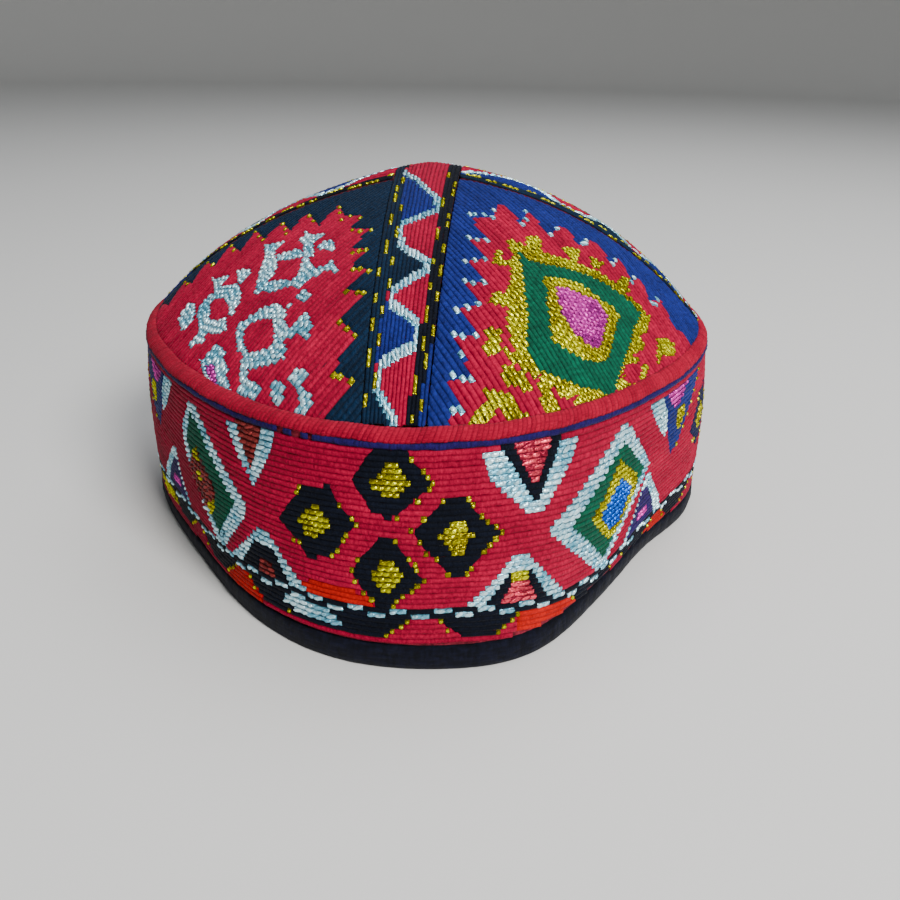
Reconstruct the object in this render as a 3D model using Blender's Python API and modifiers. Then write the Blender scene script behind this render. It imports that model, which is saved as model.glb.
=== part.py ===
"""Tubeteika skullcap: an embroidered cloth cap with a soft four-cornered plan.

An upright side band stands on a cloth binding, a padded roll joins it to the
crown, and the crown is four panels (gores) parted by narrow ridge strips.
Metres, +Z up. The front of the cap faces -Y, and it stands on z = 0.
"""

import math

import bpy
from mathutils import Vector

# Cloth and clearances
BAND_CLOTH = 0.0026        # quilted band wall
CROWN_CLOTH = 0.0022       # crown panels
GAP = 0.0003               # clearance between neighbouring pieces

# Plan at the bottom edge: half sizes on the four ridges
BASE_HALF_WIDTH = 0.0900
BASE_HALF_DEPTH = 0.0990
BASE_HOLLOW = 0.0104       # how far the plan falls in between two ridges

# Where the lower edge is pushed out of the even plan, or in (minus): the cloth is soft
BASE_PULLS = (
    {"angle": math.radians(-70), "spread": math.radians(12), "size": 0.0040},
    {"angle": math.radians(-30), "spread": math.radians(15), "size": -0.0037},
)

# Plan where the band turns into the crown
SHOULDER_HALF_WIDTH = 0.0856
SHOULDER_HALF_DEPTH = 0.0908
SHOULDER_HOLLOW = 0.0040
SHOULDER_HEIGHT = 0.0572
BAND_SWELL = 0.0010        # outward swell of the band at half height

# Crown
CROWN_RISE = 0.0450
CROWN_HOLLOW = 0.0100      # hollow between ridges near the apex, for a full-size plan
POINTED_SHARE = 0.69       # share of the rise that follows the pointed curve
POINTED_POWER = 1.4
SHOULDER_POWER = 4.0
CROWN_LEAN = 0.0012        # the crown sits this much higher on its right side, lower on its left

# Binding along the bottom edge
HEM_HEIGHT = 0.0062
HEM_THICKNESS = 0.0042

# Padded roll between band and crown
ROLL_SHARE = 0.972         # share of the shoulder plan where the crown cloth ends
ROLL_SWELL = 0.0011

# Ridge strips
STRIP_WIDTH_AT_APEX = 0.0188
STRIP_WIDTH_AT_ROLL = 0.0142
STRIP_PROUD = 0.0005

# Mesh steps
RING_STEPS = 96
BAND_ROWS = 6
ROLL_ARC_STEPS = 4
GORE_ROWS = 12
GORE_COLUMNS = 10
STRIP_COLUMNS = 6
SIDE_STRIP_ROWS = 15
LONG_STRIP_ROWS = 36
SMOOTH_ANGLE = math.radians(50)
SOLVER_ROUNDS = 24

# Binding section: "in" is a share of the thickness from the outer side,
# "up" a share of the height
HEM_SECTION = (
    {"in": 0.12, "up": 0.00},
    {"in": 0.00, "up": 0.18},
    {"in": 0.00, "up": 0.70},
    {"in": 0.12, "up": 1.00},
    {"in": 0.88, "up": 1.00},
    {"in": 1.00, "up": 0.70},
    {"in": 1.00, "up": 0.18},
    {"in": 0.88, "up": 0.00},
)

# Finish of each kind of piece: linear colour, roughness
FINISHES = {
    "band_embroidery": {"colour": (0.42, 0.012, 0.030), "roughness": 0.75},
    "binding_cotton": {"colour": (0.012, 0.013, 0.022), "roughness": 0.90},
    "roll_floss": {"colour": (0.55, 0.022, 0.035), "roughness": 0.70},
    "gore_teal": {"colour": (0.010, 0.025, 0.045), "roughness": 0.75},
    "gore_blue": {"colour": (0.015, 0.035, 0.180), "roughness": 0.75},
    "strip_embroidery": {"colour": (0.30, 0.020, 0.060), "roughness": 0.75},
}


def mix(first, second, share):
    """The value that lies a share of the way from first to second."""
    return first + (second - first) * share


def ring_radius(angle, half_width, half_depth, hollow):
    """Plan radius of the four-ridged outline at an angle from +X."""
    mean = 0.5 * (half_width + half_depth)
    stretch = 0.5 * (half_width - half_depth)
    ridge = mean + stretch * math.cos(2.0 * angle)
    return ridge - 0.5 * hollow * (1.0 - math.cos(4.0 * angle))


def base_pull(angle):
    """How far the lower edge lies outside the even plan at an angle from +X."""
    total = 0.0
    for pull in BASE_PULLS:
        turn = math.remainder(angle - pull["angle"], 2.0 * math.pi)
        total += pull["size"] * math.exp(-(turn / pull["spread"]) ** 2)
    return total


def band_point(angle, height):
    """Point on the outer face of the band."""
    share = height / SHOULDER_HEIGHT
    half_width = mix(BASE_HALF_WIDTH, SHOULDER_HALF_WIDTH, share)
    half_depth = mix(BASE_HALF_DEPTH, SHOULDER_HALF_DEPTH, share)
    hollow = mix(BASE_HOLLOW, SHOULDER_HOLLOW, share)
    radius = ring_radius(angle, half_width, half_depth, hollow)
    radius += BAND_SWELL * math.sin(math.pi * share)
    radius += base_pull(angle) * (1.0 - share)
    return Vector((radius * math.cos(angle), radius * math.sin(angle), height))


def crown_radius(angle, share):
    """Plan radius of the crown where it has a share of the shoulder's size."""
    hollow = mix(CROWN_HOLLOW, SHOULDER_HOLLOW, share ** SHOULDER_POWER)
    return share * ring_radius(angle, SHOULDER_HALF_WIDTH, SHOULDER_HALF_DEPTH, hollow)


def crown_height(angle, share):
    """Height of the crown at a share of the shoulder's size."""
    pointed = POINTED_SHARE * share ** POINTED_POWER
    rounded = (1.0 - POINTED_SHARE) * share ** SHOULDER_POWER
    lean = CROWN_LEAN * math.sin(math.pi * share) * math.cos(angle)
    return SHOULDER_HEIGHT + CROWN_RISE * (1.0 - pointed - rounded) + lean


def crown_point(angle, share):
    """Point on the outer face of the crown."""
    radius = crown_radius(angle, share)
    height = crown_height(angle, share)
    return Vector((radius * math.cos(angle), radius * math.sin(angle), height))


def crown_share(x, y):
    """Share of the shoulder's size at which the crown passes over a plan point."""
    radius = math.hypot(x, y)
    angle = math.atan2(y, x)
    share = radius / SHOULDER_HALF_WIDTH
    for _ in range(SOLVER_ROUNDS):
        share = radius / (crown_radius(angle, share) / share) if share > 0.0 else 0.0
    return share


def crown_over(x, y):
    """Point on the outer face of the crown above a plan point."""
    return Vector((x, y, crown_height(math.atan2(y, x), crown_share(x, y))))


def surface_normal(point_at, first, second, step):
    """Outward normal of a surface given by two parameters."""
    along_first = point_at(first + step, second) - point_at(first - step, second)
    along_second = point_at(first, second + step) - point_at(first, second - step)
    normal = along_first.cross(along_second).normalized()
    outward = Vector((point_at(first, second).x, point_at(first, second).y, 0.0))
    return normal if normal.dot(outward) > 0.0 else -normal


def solve(function, low, high):
    """Root of a rising function between two values, by halving."""
    for _ in range(SOLVER_ROUNDS):
        middle = 0.5 * (low + high)
        if function(middle) > 0.0:
            high = middle
        else:
            low = middle
    return 0.5 * (low + high)


def eased(index, count):
    """Share from 0 to 1 with finer steps near both ends."""
    return 0.5 * (1.0 - math.cos(math.pi * index / count))


def strip_half_width(distance, reach):
    """Half the width of a ridge strip at a plan distance from the apex."""
    return 0.5 * mix(STRIP_WIDTH_AT_APEX, STRIP_WIDTH_AT_ROLL, distance / reach)


def finish_material(name):
    """Principled material of one kind of cloth."""
    material = bpy.data.materials.get(name)
    if material is None:
        material = bpy.data.materials.new(name)
        material.use_nodes = True
        shader = material.node_tree.nodes["Principled BSDF"]
        shader.inputs["Base Color"].default_value = (*FINISHES[name]["colour"], 1.0)
        shader.inputs["Roughness"].default_value = FINISHES[name]["roughness"]
    return material


def add_piece(name, points, faces, finish, collection):
    """Add one named mesh object and give it its finish."""
    mesh = bpy.data.meshes.new(name)
    mesh.from_pydata(points, [], faces)
    mesh.validate()
    mesh.shade_smooth()
    mesh.set_sharp_from_angle(angle=SMOOTH_ANGLE)
    piece = bpy.data.objects.new(name, mesh)
    piece.data.materials.append(finish_material(finish))
    collection.objects.link(piece)
    return piece


def thicken(piece, thickness):
    """Give an open skin its cloth thickness, towards the inside of the cap."""
    solidify = piece.modifiers.new("cloth", "SOLIDIFY")
    solidify.thickness = thickness
    solidify.offset = -1.0
    return piece


def grid_faces(rows, columns, closed):
    """Quads between rows of points; closed joins the last column to the first."""
    faces = []
    spans = columns if closed else columns - 1
    for row in range(rows - 1):
        for column in range(spans):
            following = (column + 1) % columns
            low = row * columns
            high = low + columns
            faces.append((low + column, low + following, high + following, high + column))
    return faces


def loft_ring(name, sections, finish, collection):
    """Closed ring lofted through sections that change from one angle to the next."""
    size = len(sections[0])
    points = [point for section in sections for point in section]
    faces = grid_faces(len(sections) + 1, size, closed=True)
    total = len(points)
    faces = [tuple(index % total for index in reversed(face)) for face in faces]
    return add_piece(name, points, faces, finish, collection)


def ring_angles():
    """Angles of the sections round the cap."""
    return [2.0 * math.pi * step / RING_STEPS for step in range(RING_STEPS)]


def make_hem(collection):
    """Binding folded round the lower edge, flat underneath."""
    overlap = 0.5 * (HEM_THICKNESS - BAND_CLOTH)
    sections = []
    for angle in ring_angles():
        section = []
        for row in HEM_SECTION:
            edge = band_point(angle, row["up"] * HEM_HEIGHT)
            normal = surface_normal(band_point, angle, row["up"] * HEM_HEIGHT, GAP)
            inward = -Vector((normal.x, normal.y, 0.0)).normalized()
            section.append(edge + inward * (row["in"] * HEM_THICKNESS - overlap))
        sections.append(section)
    return loft_ring("hem_binding", sections, "binding_cotton", collection)


def band_foot():
    """Height of the band's outer lower edge, clear of the binding all round."""
    lean = max(
        surface_normal(band_point, angle, HEM_HEIGHT, GAP).z for angle in ring_angles()
    )
    return HEM_HEIGHT + GAP + BAND_CLOTH * lean


def make_band(collection):
    """Upright band: one hollow ring of quilted cloth."""
    foot = band_foot()
    points = []
    for row in range(BAND_ROWS + 1):
        height = mix(foot, SHOULDER_HEIGHT, row / BAND_ROWS)
        points += [band_point(angle, height) for angle in ring_angles()]
    faces = grid_faces(BAND_ROWS + 1, RING_STEPS, closed=True)
    band = add_piece("side_band", points, faces, "band_embroidery", collection)
    return thicken(band, BAND_CLOTH)


def roll_section(angle):
    """Section of the padded roll, wedged between the band's top and the crown's edge."""
    band_top = band_point(angle, SHOULDER_HEIGHT)
    band_out = surface_normal(band_point, angle, SHOULDER_HEIGHT, GAP)
    crown_edge = crown_point(angle, ROLL_SHARE)
    crown_out = surface_normal(crown_point, angle, ROLL_SHARE, GAP)
    around = Vector((-math.sin(angle), math.cos(angle), 0.0))
    up_band = around.cross(band_out).normalized()
    up_band = up_band if up_band.z > 0.0 else -up_band
    up_crown = around.cross(crown_out).normalized()
    up_crown = up_crown if up_crown.z > 0.0 else -up_crown
    low_out = band_top + up_band * GAP
    high_out = crown_edge - up_crown * GAP
    low_in = low_out - band_out * BAND_CLOTH
    high_in = high_out - crown_out * CROWN_CLOTH
    outward = (band_out + crown_out).normalized()
    section = [low_in, low_out]
    for step in range(1, ROLL_ARC_STEPS):
        share = step / ROLL_ARC_STEPS
        swell = ROLL_SWELL * math.sin(math.pi * share)
        section.append(low_out.lerp(high_out, share) + outward * swell)
    return section + [high_out, high_in]


def make_roll(collection):
    """Padded, overcast roll between the band and the crown."""
    sections = [roll_section(angle) for angle in ring_angles()]
    return loft_ring("seam_roll", sections, "roll_floss", collection)


def strip_edge_angle(share, along_y, reach):
    """Angle, in the first quarter, where a level of the crown meets a strip's edge."""

    def beyond_edge(angle):
        radius = crown_radius(angle, share)
        x = radius * math.cos(angle)
        y = radius * math.sin(angle)
        if along_y:
            return strip_half_width(y, reach) + GAP - x
        return y - strip_half_width(x, reach) - GAP

    return solve(beyond_edge, 0.0, 0.5 * math.pi)


def long_reach():
    """Plan distance from the apex to the roll along the front and back ridges."""
    return crown_radius(0.5 * math.pi, ROLL_SHARE)


def side_reach():
    """Plan distance from the apex to the roll along the side ridges."""
    return crown_radius(0.0, ROLL_SHARE)


def make_gore(name, sign_x, sign_y, finish, collection):
    """Crown panel of one quarter, from its tip near the apex down to the roll."""

    def opening(share):
        upper = strip_edge_angle(share, True, long_reach())
        return upper - strip_edge_angle(share, False, side_reach())

    tip_share = solve(opening, 0.0, ROLL_SHARE)
    tip_angle = strip_edge_angle(tip_share, False, side_reach())
    points = [crown_point(tip_angle, tip_share)]
    for row in range(1, GORE_ROWS + 1):
        share = mix(tip_share, ROLL_SHARE, row / GORE_ROWS)
        first = strip_edge_angle(share, False, side_reach())
        last = strip_edge_angle(share, True, long_reach())
        for column in range(GORE_COLUMNS + 1):
            angle = mix(first, last, eased(column, GORE_COLUMNS))
            points.append(crown_point(angle, share))
    points = [crown_over(sign_x * point.x, sign_y * point.y) for point in points]
    width = GORE_COLUMNS + 1
    faces = [(0, column + 1, column + 2) for column in range(GORE_COLUMNS)]
    for face in grid_faces(GORE_ROWS, width, closed=False):
        faces.append(tuple(index + 1 for index in reversed(face)))
    if sign_x * sign_y < 0.0:
        faces = [tuple(reversed(face)) for face in faces]
    gore = add_piece(name, points, faces, finish, collection)
    return thicken(gore, CROWN_CLOTH)


def strip_points(rows, start, reach, place):
    """Rows of points across a ridge strip.

    start is the plan distance of its inner end, or None where the strip runs on to
    the far side. place turns a distance and an offset across into a plan point.
    """
    points = []
    for row in range(rows + 1):
        for column in range(STRIP_COLUMNS + 1):
            lateral = math.sin(0.5 * math.pi * (2.0 * column / STRIP_COLUMNS - 1.0))

            def past_roll(distance):
                across = lateral * strip_half_width(distance, reach)
                return crown_share(*place(distance, across)) - ROLL_SHARE

            end = solve(past_roll, 0.5 * reach, 1.5 * reach)
            inner = -end if start is None else start
            distance = mix(inner, end, row / rows)
            across = lateral * strip_half_width(abs(distance), reach)
            points.append(crown_over(*place(distance, across)) + Vector((0.0, 0.0, STRIP_PROUD)))
    return points


def make_long_strip(collection):
    """Ridge strip from front to back over the apex."""
    points = strip_points(
        LONG_STRIP_ROWS, None, long_reach(), lambda distance, across: (across, distance)
    )
    faces = grid_faces(LONG_STRIP_ROWS + 1, STRIP_COLUMNS + 1, closed=False)
    strip = add_piece("strip_front_back", points, faces, "strip_embroidery", collection)
    return thicken(strip, CROWN_CLOTH)


def make_side_strip(name, sign_x, collection):
    """Short ridge strip that butts against the long one."""
    start = strip_half_width(0.0, long_reach()) + GAP
    points = strip_points(
        SIDE_STRIP_ROWS, start, side_reach(), lambda distance, across: (sign_x * distance, across)
    )
    faces = grid_faces(SIDE_STRIP_ROWS + 1, STRIP_COLUMNS + 1, closed=False)
    if sign_x > 0.0:
        faces = [tuple(reversed(face)) for face in faces]
    strip = add_piece(name, points, faces, "strip_embroidery", collection)
    return thicken(strip, CROWN_CLOTH)


def main():
    """Clear the scene and build the cap."""
    for old in list(bpy.data.objects):
        bpy.data.objects.remove(old, do_unlink=True)
    collection = bpy.data.collections.new("tubeteika_skullcap")
    bpy.context.scene.collection.children.link(collection)
    make_hem(collection)
    make_band(collection)
    make_roll(collection)
    make_gore("gore_front_left", -1.0, -1.0, "gore_teal", collection)
    make_gore("gore_front_right", 1.0, -1.0, "gore_blue", collection)
    make_gore("gore_back_left", -1.0, 1.0, "gore_blue", collection)
    make_gore("gore_back_right", 1.0, 1.0, "gore_teal", collection)
    make_long_strip(collection)
    make_side_strip("strip_left", -1.0, collection)
    make_side_strip("strip_right", 1.0, collection)


main()
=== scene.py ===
"""Visual model of the tubeteika skullcap.

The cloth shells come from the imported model. Over them this script sews the
embroidery as real geometry: every rib is a raised line of floss, and every
metal-thread stitch is its own small grain. The binding, the padded roll and
the couched cord are modelled in full. Lengths in the charts are millimetres.
"""

import math

import bmesh
import bpy
import numpy as np
from mathutils import Matrix


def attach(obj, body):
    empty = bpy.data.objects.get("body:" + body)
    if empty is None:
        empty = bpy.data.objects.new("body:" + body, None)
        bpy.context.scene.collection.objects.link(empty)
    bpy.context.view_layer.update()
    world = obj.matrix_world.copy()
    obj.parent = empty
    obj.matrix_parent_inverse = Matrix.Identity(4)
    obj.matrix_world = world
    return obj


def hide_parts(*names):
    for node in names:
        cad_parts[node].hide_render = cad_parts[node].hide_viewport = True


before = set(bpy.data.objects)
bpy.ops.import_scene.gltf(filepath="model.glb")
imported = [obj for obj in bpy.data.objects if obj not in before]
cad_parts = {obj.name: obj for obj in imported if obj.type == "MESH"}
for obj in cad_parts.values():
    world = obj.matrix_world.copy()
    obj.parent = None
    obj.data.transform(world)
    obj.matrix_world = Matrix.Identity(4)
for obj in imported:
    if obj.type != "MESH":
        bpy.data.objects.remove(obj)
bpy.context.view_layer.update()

CAMERA = {
    "place": (0.021185, -0.246124, 0.137700),
    "right": (0.997784, 0.063860, 0.018681),
    "up": (-0.046201, 0.462918, 0.885197),
    "ahead": (-0.047881, 0.884098, -0.464842),
    "lens": 32.0,
    "sensor": 36.0,
}


def add_camera():
    """Camera at the photograph's viewing angle."""
    data = bpy.data.cameras.new("camera")
    data.lens = CAMERA["lens"]
    data.sensor_width = CAMERA["sensor"]
    data.clip_start = 0.01
    camera = bpy.data.objects.new("camera", data)
    bpy.context.scene.collection.objects.link(camera)
    columns = np.stack(
        [CAMERA["right"], CAMERA["up"], -np.array(CAMERA["ahead"]), CAMERA["place"]], 1
    )
    camera.matrix_world = Matrix([*columns.tolist(), [0.0, 0.0, 0.0, 1.0]])
    bpy.context.scene.camera = camera


add_camera()

MM = 0.001
SEED = 29

# Outline of the cap, as in the part's source: in metres, but the strips' widths in millimetres
BASE_HALF_WIDTH = 0.0900
BASE_HALF_DEPTH = 0.0990
BASE_HOLLOW = 0.0104
BASE_PULLS = (
    {"angle": np.radians(-70), "spread": np.radians(12), "size": 0.0040},
    {"angle": np.radians(-30), "spread": np.radians(15), "size": -0.0037},
)
SHOULDER_HALF_WIDTH = 0.0856
SHOULDER_HALF_DEPTH = 0.0908
SHOULDER_HOLLOW = 0.0040
SHOULDER_HEIGHT = 0.0572
BAND_SWELL = 0.0010
BAND_CLOTH = 0.0026
CROWN_CLOTH = 0.0022
CROWN_RISE = 0.0450
CROWN_HOLLOW = 0.0100
POINTED_SHARE = 0.69
POINTED_POWER = 1.4
SHOULDER_POWER = 4.0
CROWN_LEAN = 0.0012
ROLL_SHARE = 0.972
SEAM_GAP = 0.0003
HEM_HEIGHT = 0.0062
HEM_THICKNESS = 0.0042
STRIP_WIDTH_AT_APEX = 18.8
STRIP_WIDTH_AT_ROLL = 14.2
STRIP_PROUD = 0.0005
SOLVER_ROUNDS = 24
SOLVER_LIMIT = 1.2

# Embroidery (millimetres)
RIB_PITCH = 1.40           # centre to centre of two ribs
RIB_HEIGHT = 0.38
CLOTH_CLEARANCE = 0.16     # the ribs' feet lie this far above the cloth shell
CHART_STEP = 0.35          # how finely a rib reads its chart
SECTION_STEP = 1.4         # spacing of a rib's cross sections
RUN_END = 0.28             # length over which a run of stitches dips at its ends
EDGE_REACH = 1.3           # farthest that a colour edge leans within one rib
EDGE_SIDE = 0.8            # share of a rib's half width at which that lean is read
STRIP_RIBS = 16
BORDER_ROW = 15.0          # rib height of the twisted border in the band's chart
TOP_ROW = 57.0

# Height of the twisted border above the table, round the band
BORDER_ARC = (
    -281, -140, -100, -80, -60, -44, -20, 0, 16, 30, 45, 60, 75, 90, 110, 140, 200, 281,
)
BORDER_HEIGHT = (
    15.6, 16, 17, 17, 15.5, 15.3, 15.6, 15.7, 16.2, 15.1, 12.3, 10.4, 11.6, 13.6, 15.5, 16, 15.5, 15.6,
)

# Hand-sewn ribs stray a little from even lines: size in millimetres, lengths of one radian
RIB_WAVES = (
    {"size": 0.30, "along": 7.0, "across": 13.0, "start": 0.0},
    {"size": 0.24, "along": 17.0, "across": -8.0, "start": 1.0},
)
# Soft cloth stands off the even band in broad low swells (millimetres)
CLOTH_WAVES = (
    {"size": 0.40, "along": 8.0, "across": 21.0, "start": 0.6},
    {"size": 0.30, "along": 14.0, "across": -11.0, "start": 2.1},
)
CLOTH_SWELL = 0.5 * sum(wave["size"] for wave in CLOTH_WAVES)


def unit(vectors):
    """Vectors scaled to length one."""
    return vectors / np.linalg.norm(vectors, axis=-1, keepdims=True)


def ring_radius(angle, half_width, half_depth, hollow):
    """Plan radius of the four-ridged outline."""
    ridge = 0.5 * (half_width + half_depth) + 0.5 * (half_width - half_depth) * np.cos(2.0 * angle)
    return ridge - 0.5 * hollow * (1.0 - np.cos(4.0 * angle))


def base_pull(angle):
    """How far the lower edge lies outside the even plan, in metres."""
    total = 0.0
    for pull in BASE_PULLS:
        turn = np.mod(angle - pull["angle"] + np.pi, 2.0 * np.pi) - np.pi
        total = total + pull["size"] * np.exp(-(turn / pull["spread"]) ** 2)
    return total


def band_surface(angle, height):
    """Points on the band's outer face, heights in metres."""
    share = height / SHOULDER_HEIGHT
    radius = ring_radius(
        angle,
        BASE_HALF_WIDTH + (SHOULDER_HALF_WIDTH - BASE_HALF_WIDTH) * share,
        BASE_HALF_DEPTH + (SHOULDER_HALF_DEPTH - BASE_HALF_DEPTH) * share,
        BASE_HOLLOW + (SHOULDER_HOLLOW - BASE_HOLLOW) * share,
    )
    radius = radius + BAND_SWELL * np.sin(np.pi * share) + base_pull(angle) * (1.0 - share)
    return np.stack([radius * np.cos(angle), radius * np.sin(angle), height + 0.0 * angle], -1)


def crown_ring(angle, share):
    """Plan radius of the crown for a full-size plan at a share."""
    hollow = CROWN_HOLLOW + (SHOULDER_HOLLOW - CROWN_HOLLOW) * share ** SHOULDER_POWER
    return ring_radius(angle, SHOULDER_HALF_WIDTH, SHOULDER_HALF_DEPTH, hollow)


def crown_height(angle, share):
    """Height of the crown at a share of the shoulder's size."""
    pointed = POINTED_SHARE * share ** POINTED_POWER
    rounded = (1.0 - POINTED_SHARE) * share ** SHOULDER_POWER
    lean = CROWN_LEAN * np.sin(np.pi * share) * np.cos(angle)
    return SHOULDER_HEIGHT + CROWN_RISE * (1.0 - pointed - rounded) + lean


def crown_share(x, y):
    """Share of the shoulder's size at which the crown passes over a plan point."""
    radius = np.hypot(x, y)
    angle = np.arctan2(y, x)
    share = radius / SHOULDER_HALF_WIDTH
    for _ in range(SOLVER_ROUNDS):
        share = radius / crown_ring(angle, np.minimum(share, SOLVER_LIMIT))
    return share


def crown_surface(x, y):
    """Points on the crown's outer face over plan points in metres."""
    share = crown_share(x, y)
    return np.stack([x, y, crown_height(np.arctan2(y, x), share)], -1)


def crown_edge(angle, share):
    """Points on the crown's outer face by angle and share."""
    radius = share * crown_ring(angle, share)
    height = crown_height(angle, share)
    return np.stack([radius * np.cos(angle), radius * np.sin(angle), height], -1)


ARC_HEIGHT = 0.030
FRONT = -0.5 * np.pi
ARC_TURNS = np.linspace(-1.05 * np.pi, 1.05 * np.pi, 3781)
ring_line = band_surface(ARC_TURNS + FRONT, np.full_like(ARC_TURNS, ARC_HEIGHT))
ring_steps = np.linalg.norm(np.diff(ring_line, axis=0), axis=1) / MM
ARC_LENGTHS = np.concatenate([[0.0], np.cumsum(ring_steps)])
ARC_LENGTHS -= np.interp(0.0, ARC_TURNS, ARC_LENGTHS)
BACK_ARC = np.interp((-np.pi, np.pi), ARC_TURNS, ARC_LENGTHS)  # the back seam, from either side


def waves(table, along, across):
    """Sum of the waves of a table."""
    found = 0.0
    for row in table:
        turn = along / row["along"] + across / row["across"] + row["start"]
        found = found + row["size"] * np.sin(turn)
    return found


def band_angle(arc):
    """Angle from +X at a distance round the band from the front."""
    return np.interp(arc, ARC_LENGTHS, ARC_TURNS) + FRONT


def band_rise(arc, row):
    """Height in millimetres of a chart row: rows spread from the border to the roll."""
    border = np.interp(arc, BORDER_ARC, BORDER_HEIGHT)
    above = border + (row - BORDER_ROW) * (TOP_ROW - border) / (TOP_ROW - BORDER_ROW)
    even = np.where(row > BORDER_ROW, above, border - (BORDER_ROW - row))
    share = np.clip((row - BORDER_ROW) / (TOP_ROW - BORDER_ROW), 0.0, 1.0)
    return even + np.sin(np.pi * share) * waves(RIB_WAVES, arc, row)


def band_at(arc, row):
    """Points on the band at chart coordinates, with the cloth's low swells."""
    angle = band_angle(arc)
    points = band_surface(angle, band_rise(arc, row) * MM)
    share = np.clip(row / TOP_ROW, 0.0, 1.0)
    swell = np.sin(np.pi * share) * (CLOTH_SWELL + 0.5 * waves(CLOTH_WAVES, arc, row)) * MM
    points[..., 0] += swell * np.cos(angle)
    points[..., 1] += swell * np.sin(angle)
    return points


def strip_half(distance, reach):
    """Half width of a ridge strip, in millimetres, at a distance from the apex."""
    change = STRIP_WIDTH_AT_ROLL - STRIP_WIDTH_AT_APEX
    return 0.5 * (STRIP_WIDTH_AT_APEX + change * np.abs(distance) / reach)


LONG_REACH = float(ROLL_SHARE * crown_ring(np.array(0.5 * np.pi), ROLL_SHARE)) / MM
SIDE_REACH = float(ROLL_SHARE * crown_ring(np.array(0.0), ROLL_SHARE)) / MM


def long_strip_at(distance, share):
    """Front-to-back strip: distance is positive to the front, share runs across."""
    x = share * strip_half(distance, LONG_REACH) * MM
    points = crown_surface(x, -distance * MM)
    points[..., 2] += STRIP_PROUD
    return points


def side_strip_at(sign):
    """Side strip towards +X or -X."""

    def at(distance, share):
        y = share * strip_half(distance, SIDE_REACH) * MM * sign
        points = crown_surface(sign * distance * MM, y)
        points[..., 2] += STRIP_PROUD
        return points

    return at


def gore_plan(along, across):
    """Distances from the two ridges for gore chart coordinates."""
    root = math.sqrt(2.0)
    across = across + waves(RIB_WAVES, along, across)
    return (along + across) / root, (along - across) / root


def gore_at(sign_x, sign_y):
    """Gore of one quarter; along runs down its middle, across towards the side strip."""

    def at(along, across):
        x, y = gore_plan(along, across)
        return crown_surface(sign_x * x * MM, sign_y * y * MM)

    return at


# A chart is painted in order: later areas lie over earlier ones. Its first number runs along
# the ribs. Its second runs across them: millimetres, or shares of the half width on a strip


def area(thread, *corners):
    """Closed area of one thread."""
    return {"thread": thread, "corners": np.array(corners, float)}


def line(thread, along, across, *points):
    """Line of one thread with its half thickness along and across the ribs."""
    return {"thread": thread, "points": np.array(points, float), "half": (along, across)}


def box(thread, low, high, bottom, top):
    """Upright area of one thread."""
    return area(thread, (low, bottom), (high, bottom), (high, top), (low, top))


def row_centre(row):
    """Middle of the rib that a chart row falls on, on band and gores."""
    return (math.floor((row - BORDER_ROW) / RIB_PITCH) + 0.5) * RIB_PITCH + BORDER_ROW


DOT_SHARE = 0.45  # half width of a single stitch, as a share of the rib pitch


def dots(thread, half_length, *points):
    """Single stitches, each on the rib that it falls on."""
    half = DOT_SHARE * RIB_PITCH
    found = []
    for along, across in points:
        low = row_centre(across) - half
        found.append(box(thread, along - half_length, along + half_length, low, low + 2.0 * half))
    return found


def moved(chart, offset, mirror=False, threads=()):
    """Copy of a band chart, moved round the band, mirrored or in other threads."""
    swaps = dict(threads)
    found = []
    for entry in chart:
        corners = entry["corners"].copy()
        if mirror:
            corners[:, 0] = -corners[:, 0]
        corners[:, 0] += offset
        found.append({"thread": swaps.get(entry["thread"], entry["thread"]), "corners": corners})
    return found


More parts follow.
